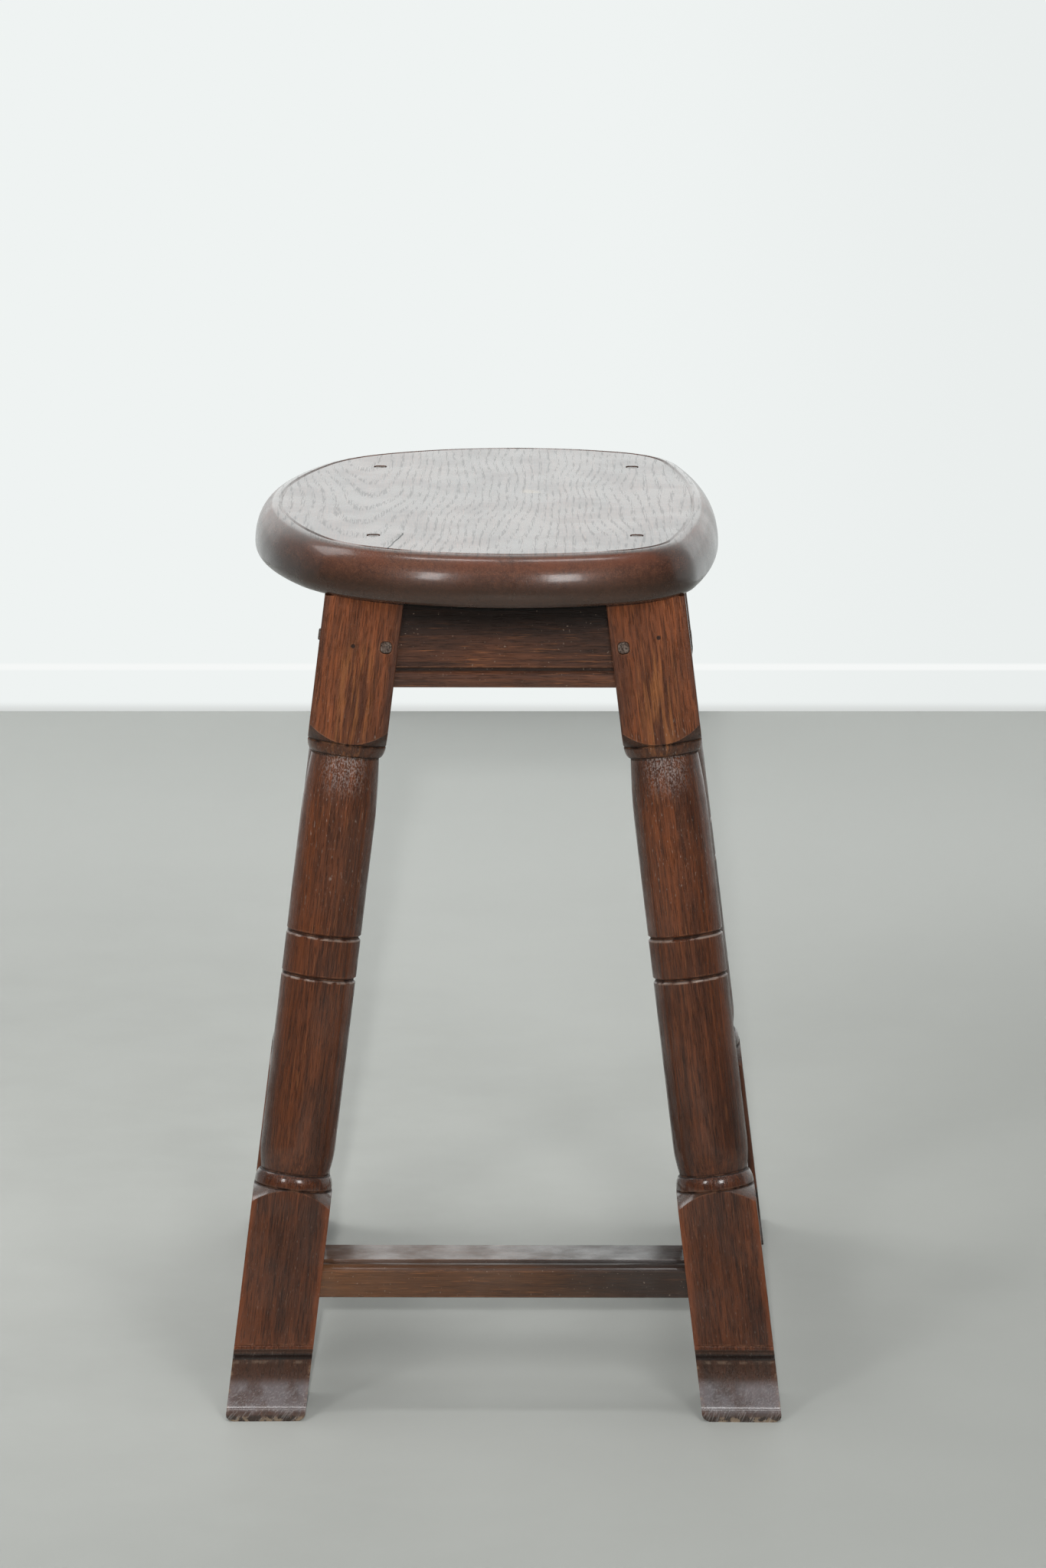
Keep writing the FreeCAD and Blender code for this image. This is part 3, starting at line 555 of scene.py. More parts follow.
def waxed(name, finish, feeds, relief_depth):
    """A waxed wood: a finish group in a material of its own, read where the mapping puts it."""
    wood = bpy.data.materials.new(name)
    wood.use_nodes = True
    tree = wood.node_tree
    tree.nodes.clear()
    spot = knot("TexCoord", {}, tree).outputs["Object"]
    placing = knot("Mapping", {"Vector": spot, **feeds.pop("mapping")}, vector_type="TEXTURE")
    look = knot("Group", {"Place": placing.outputs[0], **feeds}, node_tree=finish)
    if "Over floor" in look.inputs:
        tree.links.new(knot("SeparateXYZ", {0: spot}).outputs[2], look.inputs["Over floor"])
    if "Ways" in look.inputs:
        tree.links.new(spot, look.inputs["Ways"])
    bump = knot("Bump", {"Height": look.outputs["Height"], "Distance": relief_depth, "Strength": 1.0})
    skin = {"Base Color": look.outputs["Color"], "Roughness": look.outputs["Roughness"]}
    skin.update({"Coat Weight": look.outputs["Coat"], "Normal": bump.outputs[0], "IOR": 1.5})
    skin.update({"Specular IOR Level": 0.35, "Coat Roughness": 0.14, "Coat IOR": 1.5})
    knot("OutputMaterial", {"Surface": knot("BsdfPrincipled", skin).outputs[0]})
    return wood


def dressed(piece, wood):
    """Gives a piece its one material."""
    piece.data.materials.clear()
    piece.data.materials.append(wood)


no_nail = (0.0, 0.0, -1.0)
nails = {"leg_front_left": (-0.0036, -half_square, 0.5073)}
nails["leg_front_right"] = (0.0056, -half_square, 0.5129)
leg_relief = 0.0005
for lot, (name, leg) in enumerate(legs.items()):
    stand = leg_place(*leg_places[name])
    feeds = {"mapping": {"Location": stand.translation, "Rotation": stand.to_euler("XYZ")}}
    feeds.update({"Lot": 0.37 * (lot + 1), "Nail": nails.get(name, no_nail)})
    dressed(leg, waxed(name + "_oak", leg_finish, feeds, leg_relief))

# Rails. Four lengths of thinner oak stand on edge under the seat between the upper blocks, a bead
# run along the lower outer edge with a sunk line over it. Each leans with its two legs, and its
# ends are tenoned into them.
rail_height = 0.0632
rail_bottom = 0.4728
rail_outer = -0.0208
rail_inner = 0.0012
rail_bead = 0.011
rail_bead_round = 0.008
rail_sunk = 0.002
rail_spare = 0.006
rail_shaded_line_rise = 0.0143
rail_relief = 0.0004
rail_half = {"front": 0.081, "rear": 0.081, "left": 0.1217, "right": 0.1217}
side_turns = {"front": 0, "right": 90, "rear": 180, "left": 270}
rail_line = rail_bead + rail_sunk
bead_face = rail_outer + rail_sunk
rail_side = [(rail_inner, edge_round), (rail_inner, rail_height + rail_spare)]
rail_side += [(rail_outer, rail_height + rail_spare), (rail_outer, rail_line + edge_slope)]
rail_side += [(rail_outer + edge_slope, rail_line), (bead_face, rail_line - edge_drop)]
rail_side += [(bead_face, rail_bead)]
rail_side += bowed((bead_face, rail_bead), (bead_face, 0), -rail_bead_round, 10)
rail_side += [(bead_face, 0), (rail_inner - edge_round, 0)]


def side_place(side, height, tilted):
    """Where a rail or stretcher goes: its outer face looks out of that side of the stool."""
    ends = side in ("front", "rear")
    reach = leg_half_reach if ends else leg_half_span
    lean = lean_along if ends else lean_across
    turn = Matrix.Rotation(math.radians(side_turns[side]), 4, "Z")
    out = turn @ Matrix.Translation((0, -(reach - height * lean), height))
    return out @ Matrix.Rotation(-math.atan(lean) if tilted else 0, 4, "X")


# Old stained oak of the rails and stretchers, the grain running along them: painted shade in the sunk
# line and under the seat, rubbed arrises, and a front stretcher that goes from gold to dusk.
joined_takes = {"Place": (0.0, 0.0, 0.0), "Over floor": 0.0, "Line": 0.0, "Line half": 0.001}
joined_takes.update({"Lot": 0.0, "Gold": 0.0, "Dark": tone(40, 26, 19), "Mid": tone(66, 41, 29)})
joined_takes.update({"Warm": tone(96, 57, 36), "Shine": 0.5})
joined_finish, takes, gives = grouped("joined_finish", joined_takes, look_gives)
over_floor = takes["Over floor"]
own_place = shifted(takes["Place"], takes["Lot"])
feeds = {"Place": own_place, "Warmth": 0.55, "Pores": 0.4}
feeds.update({socket: takes[socket] for socket in ("Dark", "Mid", "Warm")})
grain = knot("Group", feeds, node_tree=oak_grain)
wood = laid(grain.outputs["Color"], (140, 96, 68), worn_at(own_place, 0.0014, 0.55), 0.5)
# Painted shade: the sunk line near-black.
off_line = reckon("ABSOLUTE", less(over_floor, takes["Line"]))
wood = laid(wood, (18, 12, 9), fade(less(off_line, takes["Line half"]), 0.0004, 0.0), 0.85)
# Painted shade: the rails near-black just under the seat.
under_seat_shade = fade(over_floor, 0.4990, 0.5225)
wood = laid(wood, (15, 10, 8), under_seat_shade, 0.93)
lengthways = knot("SeparateXYZ", {0: takes["Place"]}).outputs[2]
wood = laid(wood, (112, 70, 36), fade(lengthways, 0.08, -0.11), takes["Gold"], 0.3)
wood = laid(wood, (30, 20, 15), fade(lengthways, -0.04, 0.10), takes["Gold"], 0.75)
wood = laid(wood, (150, 132, 116), fade(cloudy(own_place, 0.0016, 1.0), 0.72, 0.78), 0.4)
matt = fade(cloudy(own_place, 0.014, 3.0, 0.6), 0.3, 0.7, 0.36, 0.55)
wax = both(fade(cloudy(own_place, 0.03, 2.0), 0.3, 0.7, 0.6, 1.4), takes["Shine"], less(1.0, under_seat_shade))
handed(gives, {"Color": wood, "Roughness": matt, "Coat": reckon("MINIMUM", wax, 1.0)})
handed(gives, {"Height": grain.outputs["Height"]})
grain_way = {"front": (0, math.pi / 2, 0), "rear": (0, math.pi / 2, 0)}
grain_way.update({"left": (-math.pi / 2, 0, 0), "right": (-math.pi / 2, 0, 0)})

for lot, side in enumerate(side_turns):
    rail = planked("rail_beaded_" + side, rail_side, rail_half[side] * 2)
    placed(rail, side_place(side, rail_bottom, True))
    sawn(rail, (0, 0, frame_height), (0, 0, 1))
    finished(rail, "rail_" + side)
    feeds = {"mapping": {"Rotation": grain_way[side]}, "Lot": 1.9 + 0.41 * lot, "Shine": 0.35,
             "Line": rail_bottom + rail_shaded_line_rise, "Line half": 0.0011}
    dressed(rail, waxed("rail_oak_" + side, joined_finish, feeds, rail_relief))

# Stretchers. Three flat lengths of oak low down between the lower blocks, one in front and one on
# each side, moulded along the outer upper edge: a sunk line, then a quarter round.
stretcher_bottom = 0.076
stretcher_thick = 0.023
stretcher_outer = -0.0198
stretcher_inner = 0.0256
mould_width = 0.009
mould_drop = 0.005
mould_round = 0.0105
stretcher_sunk = 0.0016
stretcher_half = {"front": 0.132, "left": 0.1744, "right": 0.1744}
inner_arris = 0.0008
stretcher_shaded_line_drop = 0.0011
stretcher_relief = 0.0003
mould_line = stretcher_outer + mould_width
line_end = mould_line + stretcher_sunk
mould_start = (mould_line, stretcher_thick - stretcher_sunk)
mould_end = (stretcher_outer, stretcher_thick - mould_drop)
stretcher_side = [(stretcher_inner, edge_round), (stretcher_inner, stretcher_thick - inner_arris)]
stretcher_side += [(stretcher_inner - inner_arris, stretcher_thick)]
stretcher_side += [(line_end + edge_rise, stretcher_thick), (line_end, stretcher_thick - edge_in)]
stretcher_side += [mould_start] + bowed(mould_start, mould_end, -mould_round, 8) + [mould_end]
stretcher_side += [(stretcher_outer, edge_round), (stretcher_outer + edge_round, 0)]
stretcher_side += [(stretcher_inner - edge_round, 0)]

for lot, side in enumerate(stretcher_half):
    stretcher = planked("stretcher_moulded_" + side, stretcher_side, stretcher_half[side] * 2)
    placed(stretcher, side_place(side, stretcher_bottom, False))
    finished(stretcher, "stretcher_" + side)
    feeds = {"mapping": {"Rotation": grain_way[side]}, "Lot": 4.3 + 0.53 * lot, "Shine": 0.68,
             "Line": stretcher_bottom + stretcher_thick - stretcher_shaded_line_drop, "Line half": 0.0005}
    feeds.update({"Dark": tone(50, 32, 22), "Mid": tone(68, 44, 29), "Warm": tone(96, 62, 36)})
    feeds["Gold"] = 1.0 if side == "front" else 0.0
    dressed(stretcher, waxed("stretcher_oak_" + side, joined_finish, feeds, stretcher_relief))

# Pegs. Square oak pegs with worn corners are driven through the tenons of the rails, flush on the
# end faces and standing a little proud on the sides.
peg_side = 0.0075
peg_level = leg_length - 0.0353
peg_from_axis = half_square - 0.008
peg_reach = 0.031
peg_proud = 0.0012
peg_corner = 0.0028
peg_dome = 0.0009
peg_sunk = 0.0001
near_head = 0.00001
hole_slack = 0.00035
hole_depth = 0.004

# End grain of the pegs: grey-brown, rough, darker round the rim.
peg_takes = {"Place": (0.0, 0.0, 0.0), "Shine": 0.0}
peg_finish, takes, gives = grouped("peg_finish", peg_takes, look_gives)
pores = cloudy(takes["Place"], 0.0012, 3.0, 0.7)
patch = cloudy(takes["Place"], 0.004, 2.0)
wood = laid(tone(36, 28, 24), (116, 102, 92), fade(pores, 0.35, 0.65))
wood = laid(wood, (60, 40, 30), fade(patch, 0.45, 0.65, 0.0, 0.6))
wood = laid(wood, (96, 74, 60), worn_at(takes["Place"], 0.0008, 0.4), 0.5)
wax = both(fade(patch, 0.35, 0.5), either(takes["Shine"], 0.1))
handed(gives, {"Color": wood, "Roughness": fade(pores, 0.3, 0.7, 0.5, 0.75), "Coat": wax, "Height": pores})
peg_relief = 0.0008
peg_wood = waxed("peg_end_grain", peg_finish, {"mapping": {}}, peg_relief)


def peg_blank(name, girth, length, corner, domed):
    """A square peg with rounded corners along it, its head at the origin and its shaft below."""
    bpy.ops.object.select_all(action="DESELECT")
    bpy.ops.mesh.primitive_cube_add(size=1)
    piece = bpy.context.object
    piece.name = name
    piece.scale = (girth, girth, length)
    piece.location = (0, 0, -length / 2)
    bpy.ops.object.transform_apply(location=True, rotation=True, scale=True)
    eased(piece, lambda a, b: abs(a.z - b.z) > length / 2, corner, 4)
    if domed:
        eased(piece, lambda a, b: min(a.z, b.z) > -near_head, peg_dome, 3)
    return piece


def peg_spot(origin, outward, up):
    """A peg's place from the middle of its head and the way it looks."""
    z = Vector(outward).normalized()
    y = (Vector(up) - z * Vector(up).dot(z)).normalized()
    place = Matrix((y.cross(z), y, z)).transposed().to_4x4()
    place.translation = origin
    return place


def driven(name, spots, girth, length, node, holed):
    """Drives one peg into each spot, in a hole cut into what carries it, and joins them as one."""
    pegs = []
    for place, carrier in zip(spots, holed):
        hole = peg_blank("hole", girth + hole_slack * 2, hole_depth * 2, peg_corner, False)
        only(hole)
        hole.location = (0, 0, hole_depth)
        bpy.ops.object.transform_apply(location=True, rotation=True, scale=True)
        placed(hole, place)
        cut_by(carrier, hole, "DIFFERENCE")
        only(carrier)
        bpy.ops.object.shade_smooth_by_angle(angle=smooth_angle)
        peg = peg_blank(name, girth, length, peg_corner, True)
        placed(peg, place)
        pegs.append(peg)
    only(pegs[0])
    for peg in pegs:
        peg.select_set(True)
    bpy.ops.object.join()
    finished(pegs[0], node)
    dressed(pegs[0], peg_wood)
    return pegs[0]


end_spots = []
side_spots = []
for name, (side, end) in leg_places.items():
    stand = leg_place(side, end)
    turn = stand.to_3x3()
    inward = side * end
    end_head = stand @ Vector((inward * peg_from_axis, -half_square - peg_sunk, peg_level))
    end_spots.append(peg_spot(end_head, turn @ Vector((0, -1, 0)), turn @ Vector((0, 0, 1))))
    side_head = stand @ Vector((-inward * (half_square + peg_proud), peg_from_axis, peg_level))
    side_spots.append(peg_spot(side_head, turn @ Vector((-inward, 0, 0)), turn @ Vector((0, 0, 1))))
leg_list = list(legs.values())
driven("pegs_of_the_end_rails", end_spots, peg_side, peg_reach, "pegs_end_rails", leg_list)
driven("pegs_of_the_side_rails", side_spots, peg_side, peg_reach, "pegs_side_rails", leg_list)

# Seat. One thick oak board, planed flat on top, its edge worked to a broad round nose that is widest
# a fifth of the way up, with a sunk line run inside it. The outline is drawn with compasses, and the
# board is wider on its left.
seat_thick = 0.033
seat_middle = (0.005, 0.003)
seat_half_depth = 0.205
seat_end_radius = 0.200
seat_sides = {-1: (0.1725, 0.300, 0.105), 1: (0.1372, 0.600, 0.070)}
nose_width = 0.0155
nose_low_share = 0.2
nose_low_reach = 0.36
nose_land = 0.0008
corner_steps = 14
seat_quirk_width = 0.003
seat_quirk_depth = 0.0009


def seat_corner(side, end, half_width, side_radius, corner_radius, steps):
    """Outline points of one quarter of the board, from the middle of the end to the side."""
    end_centre = Vector((0, seat_half_depth - seat_end_radius))
    side_centre = Vector((half_width - side_radius, 0))
    gap = side_centre - end_centre
    to_end = seat_end_radius - corner_radius
    to_side = side_radius - corner_radius
    run = (to_end**2 - to_side**2 + gap.length**2) / (2 * gap.length)
    normal = Vector((-gap.y, gap.x)).normalized()
    if normal.y < 0:
        normal.negate()
    middle = end_centre + gap.normalized() * run + normal * math.sqrt(to_end**2 - run**2)
    first = (middle - end_centre).normalized()
    second = (middle - side_centre).normalized()
    points = []
    for centre, radius, a, b in ((end_centre, seat_end_radius, Vector((0, 1)), first),
                                 (middle, corner_radius, first, second),
                                 (side_centre, side_radius, second, Vector((1, 0)))):
        begin = math.atan2(a.y, a.x)
        sweep = math.atan2(b.y, b.x) - begin
        for step in range(steps):
            turn = begin + sweep * step / steps
            x = centre.x + radius * math.cos(turn)
            y = centre.y + radius * math.sin(turn)
            points.append((seat_middle[0] + side * x, seat_middle[1] + end * y))
    points.append((seat_middle[0] + side * half_width, seat_middle[1]))
    return points


front_left = seat_corner(-1, -1, *seat_sides[-1], corner_steps)
rear_left = seat_corner(-1, 1, *seat_sides[-1], corner_steps)
rear_right = seat_corner(1, 1, *seat_sides[1], corner_steps)
front_right = seat_corner(1, -1, *seat_sides[1], corner_steps)
rim = front_left + rear_left[::-1][1:] + rear_right[1:] + front_right[::-1][1:-1]
widest = frame_height + seat_thick * nose_low_share
seat = start_line("seat_board", [(x, y, widest) for x, y in rim])
bpy.ops.mesh.select_all(action="SELECT")
bpy.ops.mesh.edge_face_add()
bpy.ops.mesh.extrude_region_move(TRANSFORM_OT_translate={"value": (0, 0, nose_land)})
bpy.ops.mesh.select_all(action="SELECT")
bpy.ops.mesh.normals_make_consistent(inside=False)


def choose_faces(piece, wanted):
    """Selects only the faces whose middle lies at a wanted height; the piece stays in edit mode."""
    bpy.ops.mesh.select_mode(type="FACE")
    bpy.ops.mesh.select_all(action="DESELECT")
    bpy.ops.object.mode_set(mode="OBJECT")
    for side in piece.data.polygons:
        side.select = wanted(side.center.z)
    bpy.ops.object.mode_set(mode="EDIT")


def run_nose(rise, reach, steps):
    """Insets the chosen face in small steps along a quarter of a rounded nose."""
    before_in = 0
    before_up = 0
    for step in range(1, steps + 1):
        turn = math.pi / 2 * step / steps
        inward = reach * (1 - math.cos(turn))
        upward = rise * math.sin(turn)
        bpy.ops.mesh.inset(thickness=inward - before_in, depth=upward - before_up, use_even_offset=True)
        before_in = inward
        before_up = upward


choose_faces(seat, lambda height: height > widest + nose_land * 0.9)
run_nose(seat_thick * (1 - nose_low_share) - nose_land, nose_width, 16)
bpy.ops.mesh.inset(thickness=seat_quirk_width / 3, depth=-seat_quirk_depth)
bpy.ops.mesh.inset(thickness=seat_quirk_width / 3, depth=0)
bpy.ops.mesh.inset(thickness=seat_quirk_width / 3, depth=seat_quirk_depth)
choose_faces(seat, lambda height: height < widest + nose_land * 0.1)
run_nose(seat_thick * nose_low_share, nose_width * nose_low_reach, 8)
bpy.ops.mesh.select_mode(type="VERT")
bpy.ops.mesh.select_all(action="SELECT")
bpy.ops.mesh.normals_make_consistent(inside=False)
bpy.ops.object.mode_set(mode="OBJECT")
finished(seat, "seat_top")

# The seat's polished oak: the grain runs from front to back in a tall arch left of the middle, with
# rows of open pores, a worn red-brown band on the nose, painted shade on the lower half of the nose,
# darker arrises along the sunk line, a short crack at the front edge and a pale stain.
seat_takes = {"Place": (0.0, 0.0, 0.0), "Ways": (0.0, 0.0, 0.0)}
seat_finish, takes, gives = grouped("seat_finish", seat_takes, look_gives)
place = takes["Place"]
ways = takes["Ways"]
seat_top = frame_height + seat_thick
arch_axis = -0.057
arch_foot = 0.215
arch_slope = 0.12
ring_gap = 0.0056
right_way, back_way, up_way = knot("SeparateXYZ", {0: ways}).outputs
wander = both(cloudy(drawn_out(place, 0.45), 0.075, 1.0), 0.040)
sideways = reckon("ADD", less(right_way, arch_axis - 0.020), wander)
lengthways = both(less(back_way, arch_foot), arch_slope)
pair = knot("CombineXYZ", {0: sideways, 1: lengthways}).outputs[0]
ring = knot("VectorMath", {0: pair}, operation="LENGTH").outputs["Value"]
rows = fade(reckon("SINE", both(ring, math.tau / ring_gap)), -0.1, 0.9)
feeds = {"Place": place, "Warmth": 0.5, "Pores": 0.25}
feeds.update({"Dark": tone(56, 34, 26), "Mid": tone(84, 54, 42), "Warm": tone(106, 68, 50)})
grain = knot("Group", feeds, node_tree=oak_grain)
dashes = fade(cloudy(drawn_out(place, 0.06), 0.0009, 1.0), 0.44, 0.60)
flat_top = fade(up_way, seat_top - 0.0016, seat_top - 0.0004)
row_pores = both(rows, dashes, fade(flat_top, 0.0, 1.0, 0.2, 1.0))
wood = laid(grain.outputs["Color"], (30, 20, 16), row_pores, 0.6)
rubbed = both(less(1.0, flat_top), fade(cloudy(ways, 0.05, 3.0), 0.40, 0.66))
high_nose = fade(up_way, frame_height + seat_thick * 0.66, frame_height + seat_thick * 0.9)
wood = laid(wood, (108, 58, 36), rubbed, high_nose, 0.6)
# Painted shade: the lower half of the nose darker, as it turns down away from the light.
lower_nose_shade = fade(up_way, frame_height + seat_thick * 0.75, frame_height + seat_thick * 0.3)
wood = laid(wood, (44, 34, 27), lower_nose_shade, 0.8)
stain_place = (0.0165, 0.031, seat_top)
stain = knot("VectorMath", {0: ways, 1: stain_place}, operation="DISTANCE").outputs["Value"]
stain_edge = reckon("ADD", stain, both(cloudy(ways, 0.006, 2.0), 0.012))
wood = laid(wood, (150, 126, 92), fade(stain_edge, 0.0145, 0.0085), 0.7)
feeds = {"Vector": ways, "Location": (-0.0762, -0.1660, 0), "Rotation": (0, 0, 1.39)}
crack_way = knot("Mapping", feeds, vector_type="TEXTURE").outputs[0]
crack_along, crack_across = knot("SeparateXYZ", {0: crack_way}).outputs[:2]
crack_bend = reckon("ADD", crack_across, both(less(cloudy(ways, 0.02), 0.5), 0.004))
crack = both(near(crack_bend, 0, 0.0003, 0.0005), near(crack_along, 0.026, 0.024, 0.004))
wood = laid(wood, (16, 11, 9), crack, 0.95)
feeds = {"Vector": ways, "Rotation": (0, 0, 0.7), "Scale": (1, 0.08, 1)}
scratches = fade(cloudy(knot("Mapping", feeds).outputs[0], 0.0009, 1.0), 0.70, 0.78)
wood = laid(wood, (60, 36, 26), worn_at(ways, 0.0016, 0.6), 0.3)
smear = fade(cloudy(ways, 0.035, 3.0, 0.6), 0.3, 0.7, 0.22, 0.34)
rough = reckon("ADD", smear, both(row_pores, 0.12))
unpored = less(1.0, either(both(row_pores, 0.16), crack))
wax = both(unpored, fade(flat_top, 0.0, 1.0, 0.45, 1.0))
dips = reckon("ADD", both(row_pores, 0.4), both(scratches, 0.2))
relief = less(both(grain.outputs["Height"], 0.3), reckon("ADD", dips, both(crack, 2.0)))
handed(gives, {"Color": wood, "Roughness": rough, "Coat": wax, "Height": relief})
seat_relief = 0.00022
seat_grain_way = {"mapping": {"Rotation": (-math.pi / 2, 0, 0)}}
dressed(seat, waxed("seat_oak_polished", seat_finish, seat_grain_way, seat_relief))

# Seat pegs. Four square pegs go down through the seat into the tops of the legs. They are cut off
# just under the seat's face and waxed with it.
seat_peg_sunk = 0.0003
seat_peg_relief = 0.0003
seat_peg_side = 0.008
seat_peg_x = 0.0861
seat_peg_y = 0.12145
seat_peg_reach = 0.057
seat_spots = [peg_spot(Vector((x, y, seat_top - seat_peg_sunk)), (0, 0, 1), (0, 1, 0))
              for x in (-seat_peg_x, seat_peg_x) for y in (-seat_peg_y, seat_peg_y)]
seat_pegs = driven("pegs_of_the_seat", seat_spots, seat_peg_side, seat_peg_reach, "pegs_seat", [seat] * 4)
seat_peg_feeds = {"mapping": {}, "Shine": 0.8}
dressed(seat_pegs, waxed("seat_peg_end_grain", peg_finish, seat_peg_feeds, seat_peg_relief))

# Room. A pale grey floor of polished screed, with painted shade to the right and towards the camera
# and painted light towards the wall, and behind it a white wall with a low skirting, with painted
# shade to the right and along its foot. The wall shines a little by itself, and less of it shows in
# the wax than the camera sees.
room_span = 24
bpy.ops.object.select_all(action="DESELECT")
bpy.ops.mesh.primitive_plane_add(size=room_span, location=(0, 0, 0))
floor = bpy.context.object
floor.name = "floor"
floor_paint = bpy.data.materials.new("floor_screed")
floor_paint.use_nodes = True
floor_tree = floor_paint.node_tree
floor_spot = knot("TexCoord", {}, floor_tree).outputs["Object"]
clouds = fade(cloudy(floor_spot, 0.55, 4.0, 0.6), 0.3, 0.7)
small_clouds = fade(cloudy(floor_spot, 0.06, 4.0, 0.65), 0.35, 0.7, 0.0, 0.25)
floor_colour = laid(laid(tone(184, 186, 181), (194, 196, 191), clouds), (198, 201, 196), small_clouds)
floor_x, floor_y = knot("SeparateXYZ", {0: floor_spot}).outputs[:2]
# Painted shade and light: the floor darker to the right and towards the camera, lighter towards the wall.
floor_colour = laid(floor_colour, (169, 171, 166), fade(floor_x, -0.1, 0.5), 0.8)
floor_colour = laid(floor_colour, (156, 159, 154), fade(floor_y, 0.2, -0.9), 0.75)
floor_colour = laid(floor_colour, (206, 208, 204), fade(floor_y, 0.5, 1.5), 0.8)
floor_shader = floor_tree.nodes["Principled BSDF"]
floor_tree.links.new(floor_colour, floor_shader.inputs["Base Color"])
floor_shader.inputs["Roughness"].default_value = 0.6
floor_shader.inputs["Specular IOR Level"].default_value = 0.3
floor.data.materials.append(floor_paint)

wall_back = 1.926
wall_high = 4.0
wall_turn = 0.007
skirting_high = 0.042
bpy.ops.object.select_all(action="DESELECT")
bpy.ops.mesh.primitive_plane_add(
    size=1, location=(0, wall_back, wall_high / 2), rotation=(math.pi / 2, 0, wall_turn))
wall = bpy.context.object
wall.name = "wall"
wall.scale = (room_span, wall_high, 1)
bpy.ops.object.transform_apply(location=True, rotation=True, scale=True)
wall_paint = bpy.data.materials.new("wall_white")
wall_paint.use_nodes = True
wall_tree = wall_paint.node_tree
wall_tree.nodes.clear()
wall_spot = knot("TexCoord", {}, wall_tree).outputs["Object"]
wall_x, wall_y, wall_z = knot("SeparateXYZ", {0: wall_spot}).outputs
wall_white = tone(239, 243, 242)
# Painted shade: the wall darker to the right.
wall_colour = laid(wall_white, (234, 238, 237), fade(wall_x, 0.05, 0.5))
wall_colour = laid(wall_colour, (246, 248, 247), near(wall_z, skirting_high, 0.0015, 0.003))
# Painted shade: the wall darker along its foot, where it meets the floor.
wall_colour = laid(wall_colour, (196, 198, 196), fade(wall_z, 0.010, 0.0, 0.0, 0.6))
path = knot("LightPath", {}, wall_tree).outputs
seen = either(path["Is Camera Ray"], path["Is Glossy Ray"], path["Is Transmission Ray"])
wall_dim = both(fade(wall_x, -2.2, -0.8, 0.35, 1.0), fade(wall_x, 2.4, 0.9, 0.7, 1.0))
wall_glow = either(path["Is Camera Ray"], wall_dim)
shown = knot("Emission", {"Color": wall_colour, "Strength": wall_glow})
painted = knot("BsdfDiffuse", {"Color": wall_white}, wall_tree)
front_side = knot("MixShader", {0: seen, 1: painted.outputs[0], 2: shown.outputs[0]})
behind = knot("NewGeometry", {}, wall_tree).outputs["Backfacing"]
clear = knot("BsdfTransparent", {}, wall_tree)
whole = knot("MixShader", {0: behind, 1: front_side.outputs[0], 2: clear.outputs[0]})
knot("OutputMaterial", {"Surface": whole.outputs[0]})
wall.data.materials.append(wall_paint)

# Camera. It stands about five metres off, a metre above the seat and a hair to the right of the
# middle, and looks down on the stool as in the photograph.
camera_place = (0.01526, -5.079, 1.544)
camera_down = 12.97
camera_pan = 0.0006628
camera_roll = 0.001479
lens_pixels = 10089
picture_high = 2048
sensor_high = 24
lens = bpy.data.cameras.new("camera")
camera = bpy.data.objects.new("camera", lens)
bpy.context.scene.collection.objects.link(camera)
lens.sensor_fit = "VERTICAL"
lens.sensor_height = sensor_high
lens.lens = lens_pixels / picture_high * sensor_high
turn = Matrix.Rotation(camera_pan, 4, "Z") @ Matrix.Rotation(math.radians(90 - camera_down), 4, "X")
camera.matrix_world = Matrix.Translation(camera_place) @ turn @ Matrix.Rotation(camera_roll, 4, "Z")
bpy.context.scene.camera = camera
bpy.context.scene.view_settings.view_transform = "Standard"

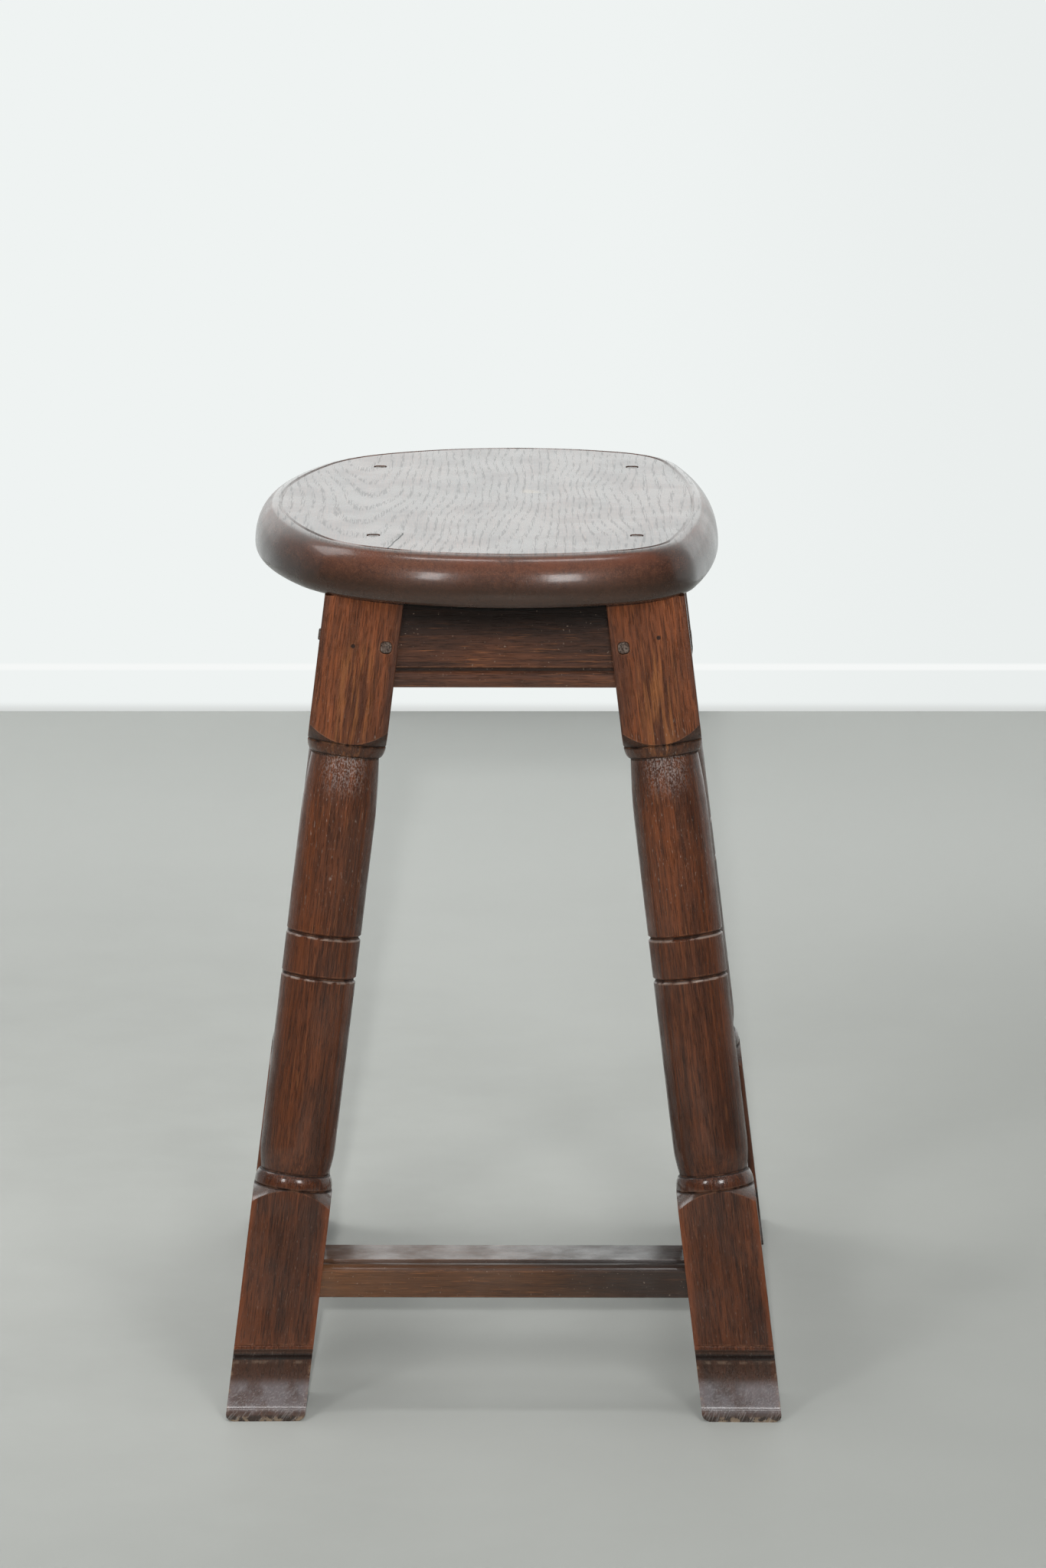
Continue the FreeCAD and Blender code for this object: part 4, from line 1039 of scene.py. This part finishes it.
# Light. The white room itself, two long lamps overhead, a softbox on either side of the camera and
# one at the back on the left, a broad dim lamp at the wall, and a small lamp just over the camera
# that does not show in the wax.
room = bpy.data.worlds.new("white_room")
bpy.context.scene.world = room
room.use_nodes = True
room_tree = room.node_tree
room_tree.nodes.clear()
path = knot("LightPath", {}, room_tree).outputs
seen = either(path["Is Camera Ray"], path["Is Transmission Ray"])
shown = knot("Background", {"Color": wall_white, "Strength": 1.0}, room_tree)
skyward = knot("SeparateXYZ", {0: knot("TexCoord", {}, room_tree).outputs["Generated"]}).outputs[2]
level = fade(skyward, 0.3, 1.0, 0.08, 0.41)
lighting = knot("Background", {"Color": tone(252, 252, 254), "Strength": level})
whole = knot("MixShader", {0: seen, 1: lighting.outputs[0], 2: shown.outputs[0]})
knot("OutputWorld", {"Surface": whole.outputs[0]})


def lamp_at(name, place, aim, width, height, watts):
    """An area lamp that looks at its aim."""
    light = bpy.data.lights.new(name, "AREA")
    light.shape = "RECTANGLE"
    light.size = width
    light.size_y = height
    light.energy = watts
    lamp = bpy.data.objects.new(name, light)
    bpy.context.scene.collection.objects.link(lamp)
    lamp.location = place
    lamp.rotation_euler = (Vector(aim) - Vector(place)).to_track_quat("-Z", "Y").to_euler()
    lamp.visible_camera = False
    return lamp


lamp_at("lamp_over_left", (-0.62, -0.1, 3.0), (-0.62, -0.1, 0), 0.9, 0.3, 8)
lamp_at("lamp_over_right", (0.52, -0.1, 3.0), (0.52, -0.1, 0), 0.9, 0.3, 8)
lamp_at("softbox_left", (-1.51, -2.44, 1.87), (0, -0.2, 0.5), 0.46, 0.8, 16)
lamp_at("softbox_right", (0.98, -2.72, 1.87), (0, -0.2, 0.5), 0.64, 0.8, 21)
lamp_at("lamp_at_the_wall", (0, 1.9, 0.98), (0, 0, 0.98), 3.2, 0.8, 2.0)
lamp_at("softbox_back_left", (-1.5, 0.6, 1.9), (-0.15, -0.2, 0.15), 0.9, 0.9, 8)
front_spot = lamp_at("lamp_by_the_camera", (-0.05, -5.2, 1.77), (0, 0, 0.3), 0.07, 0.07, 178)
front_spot.visible_glossy = False
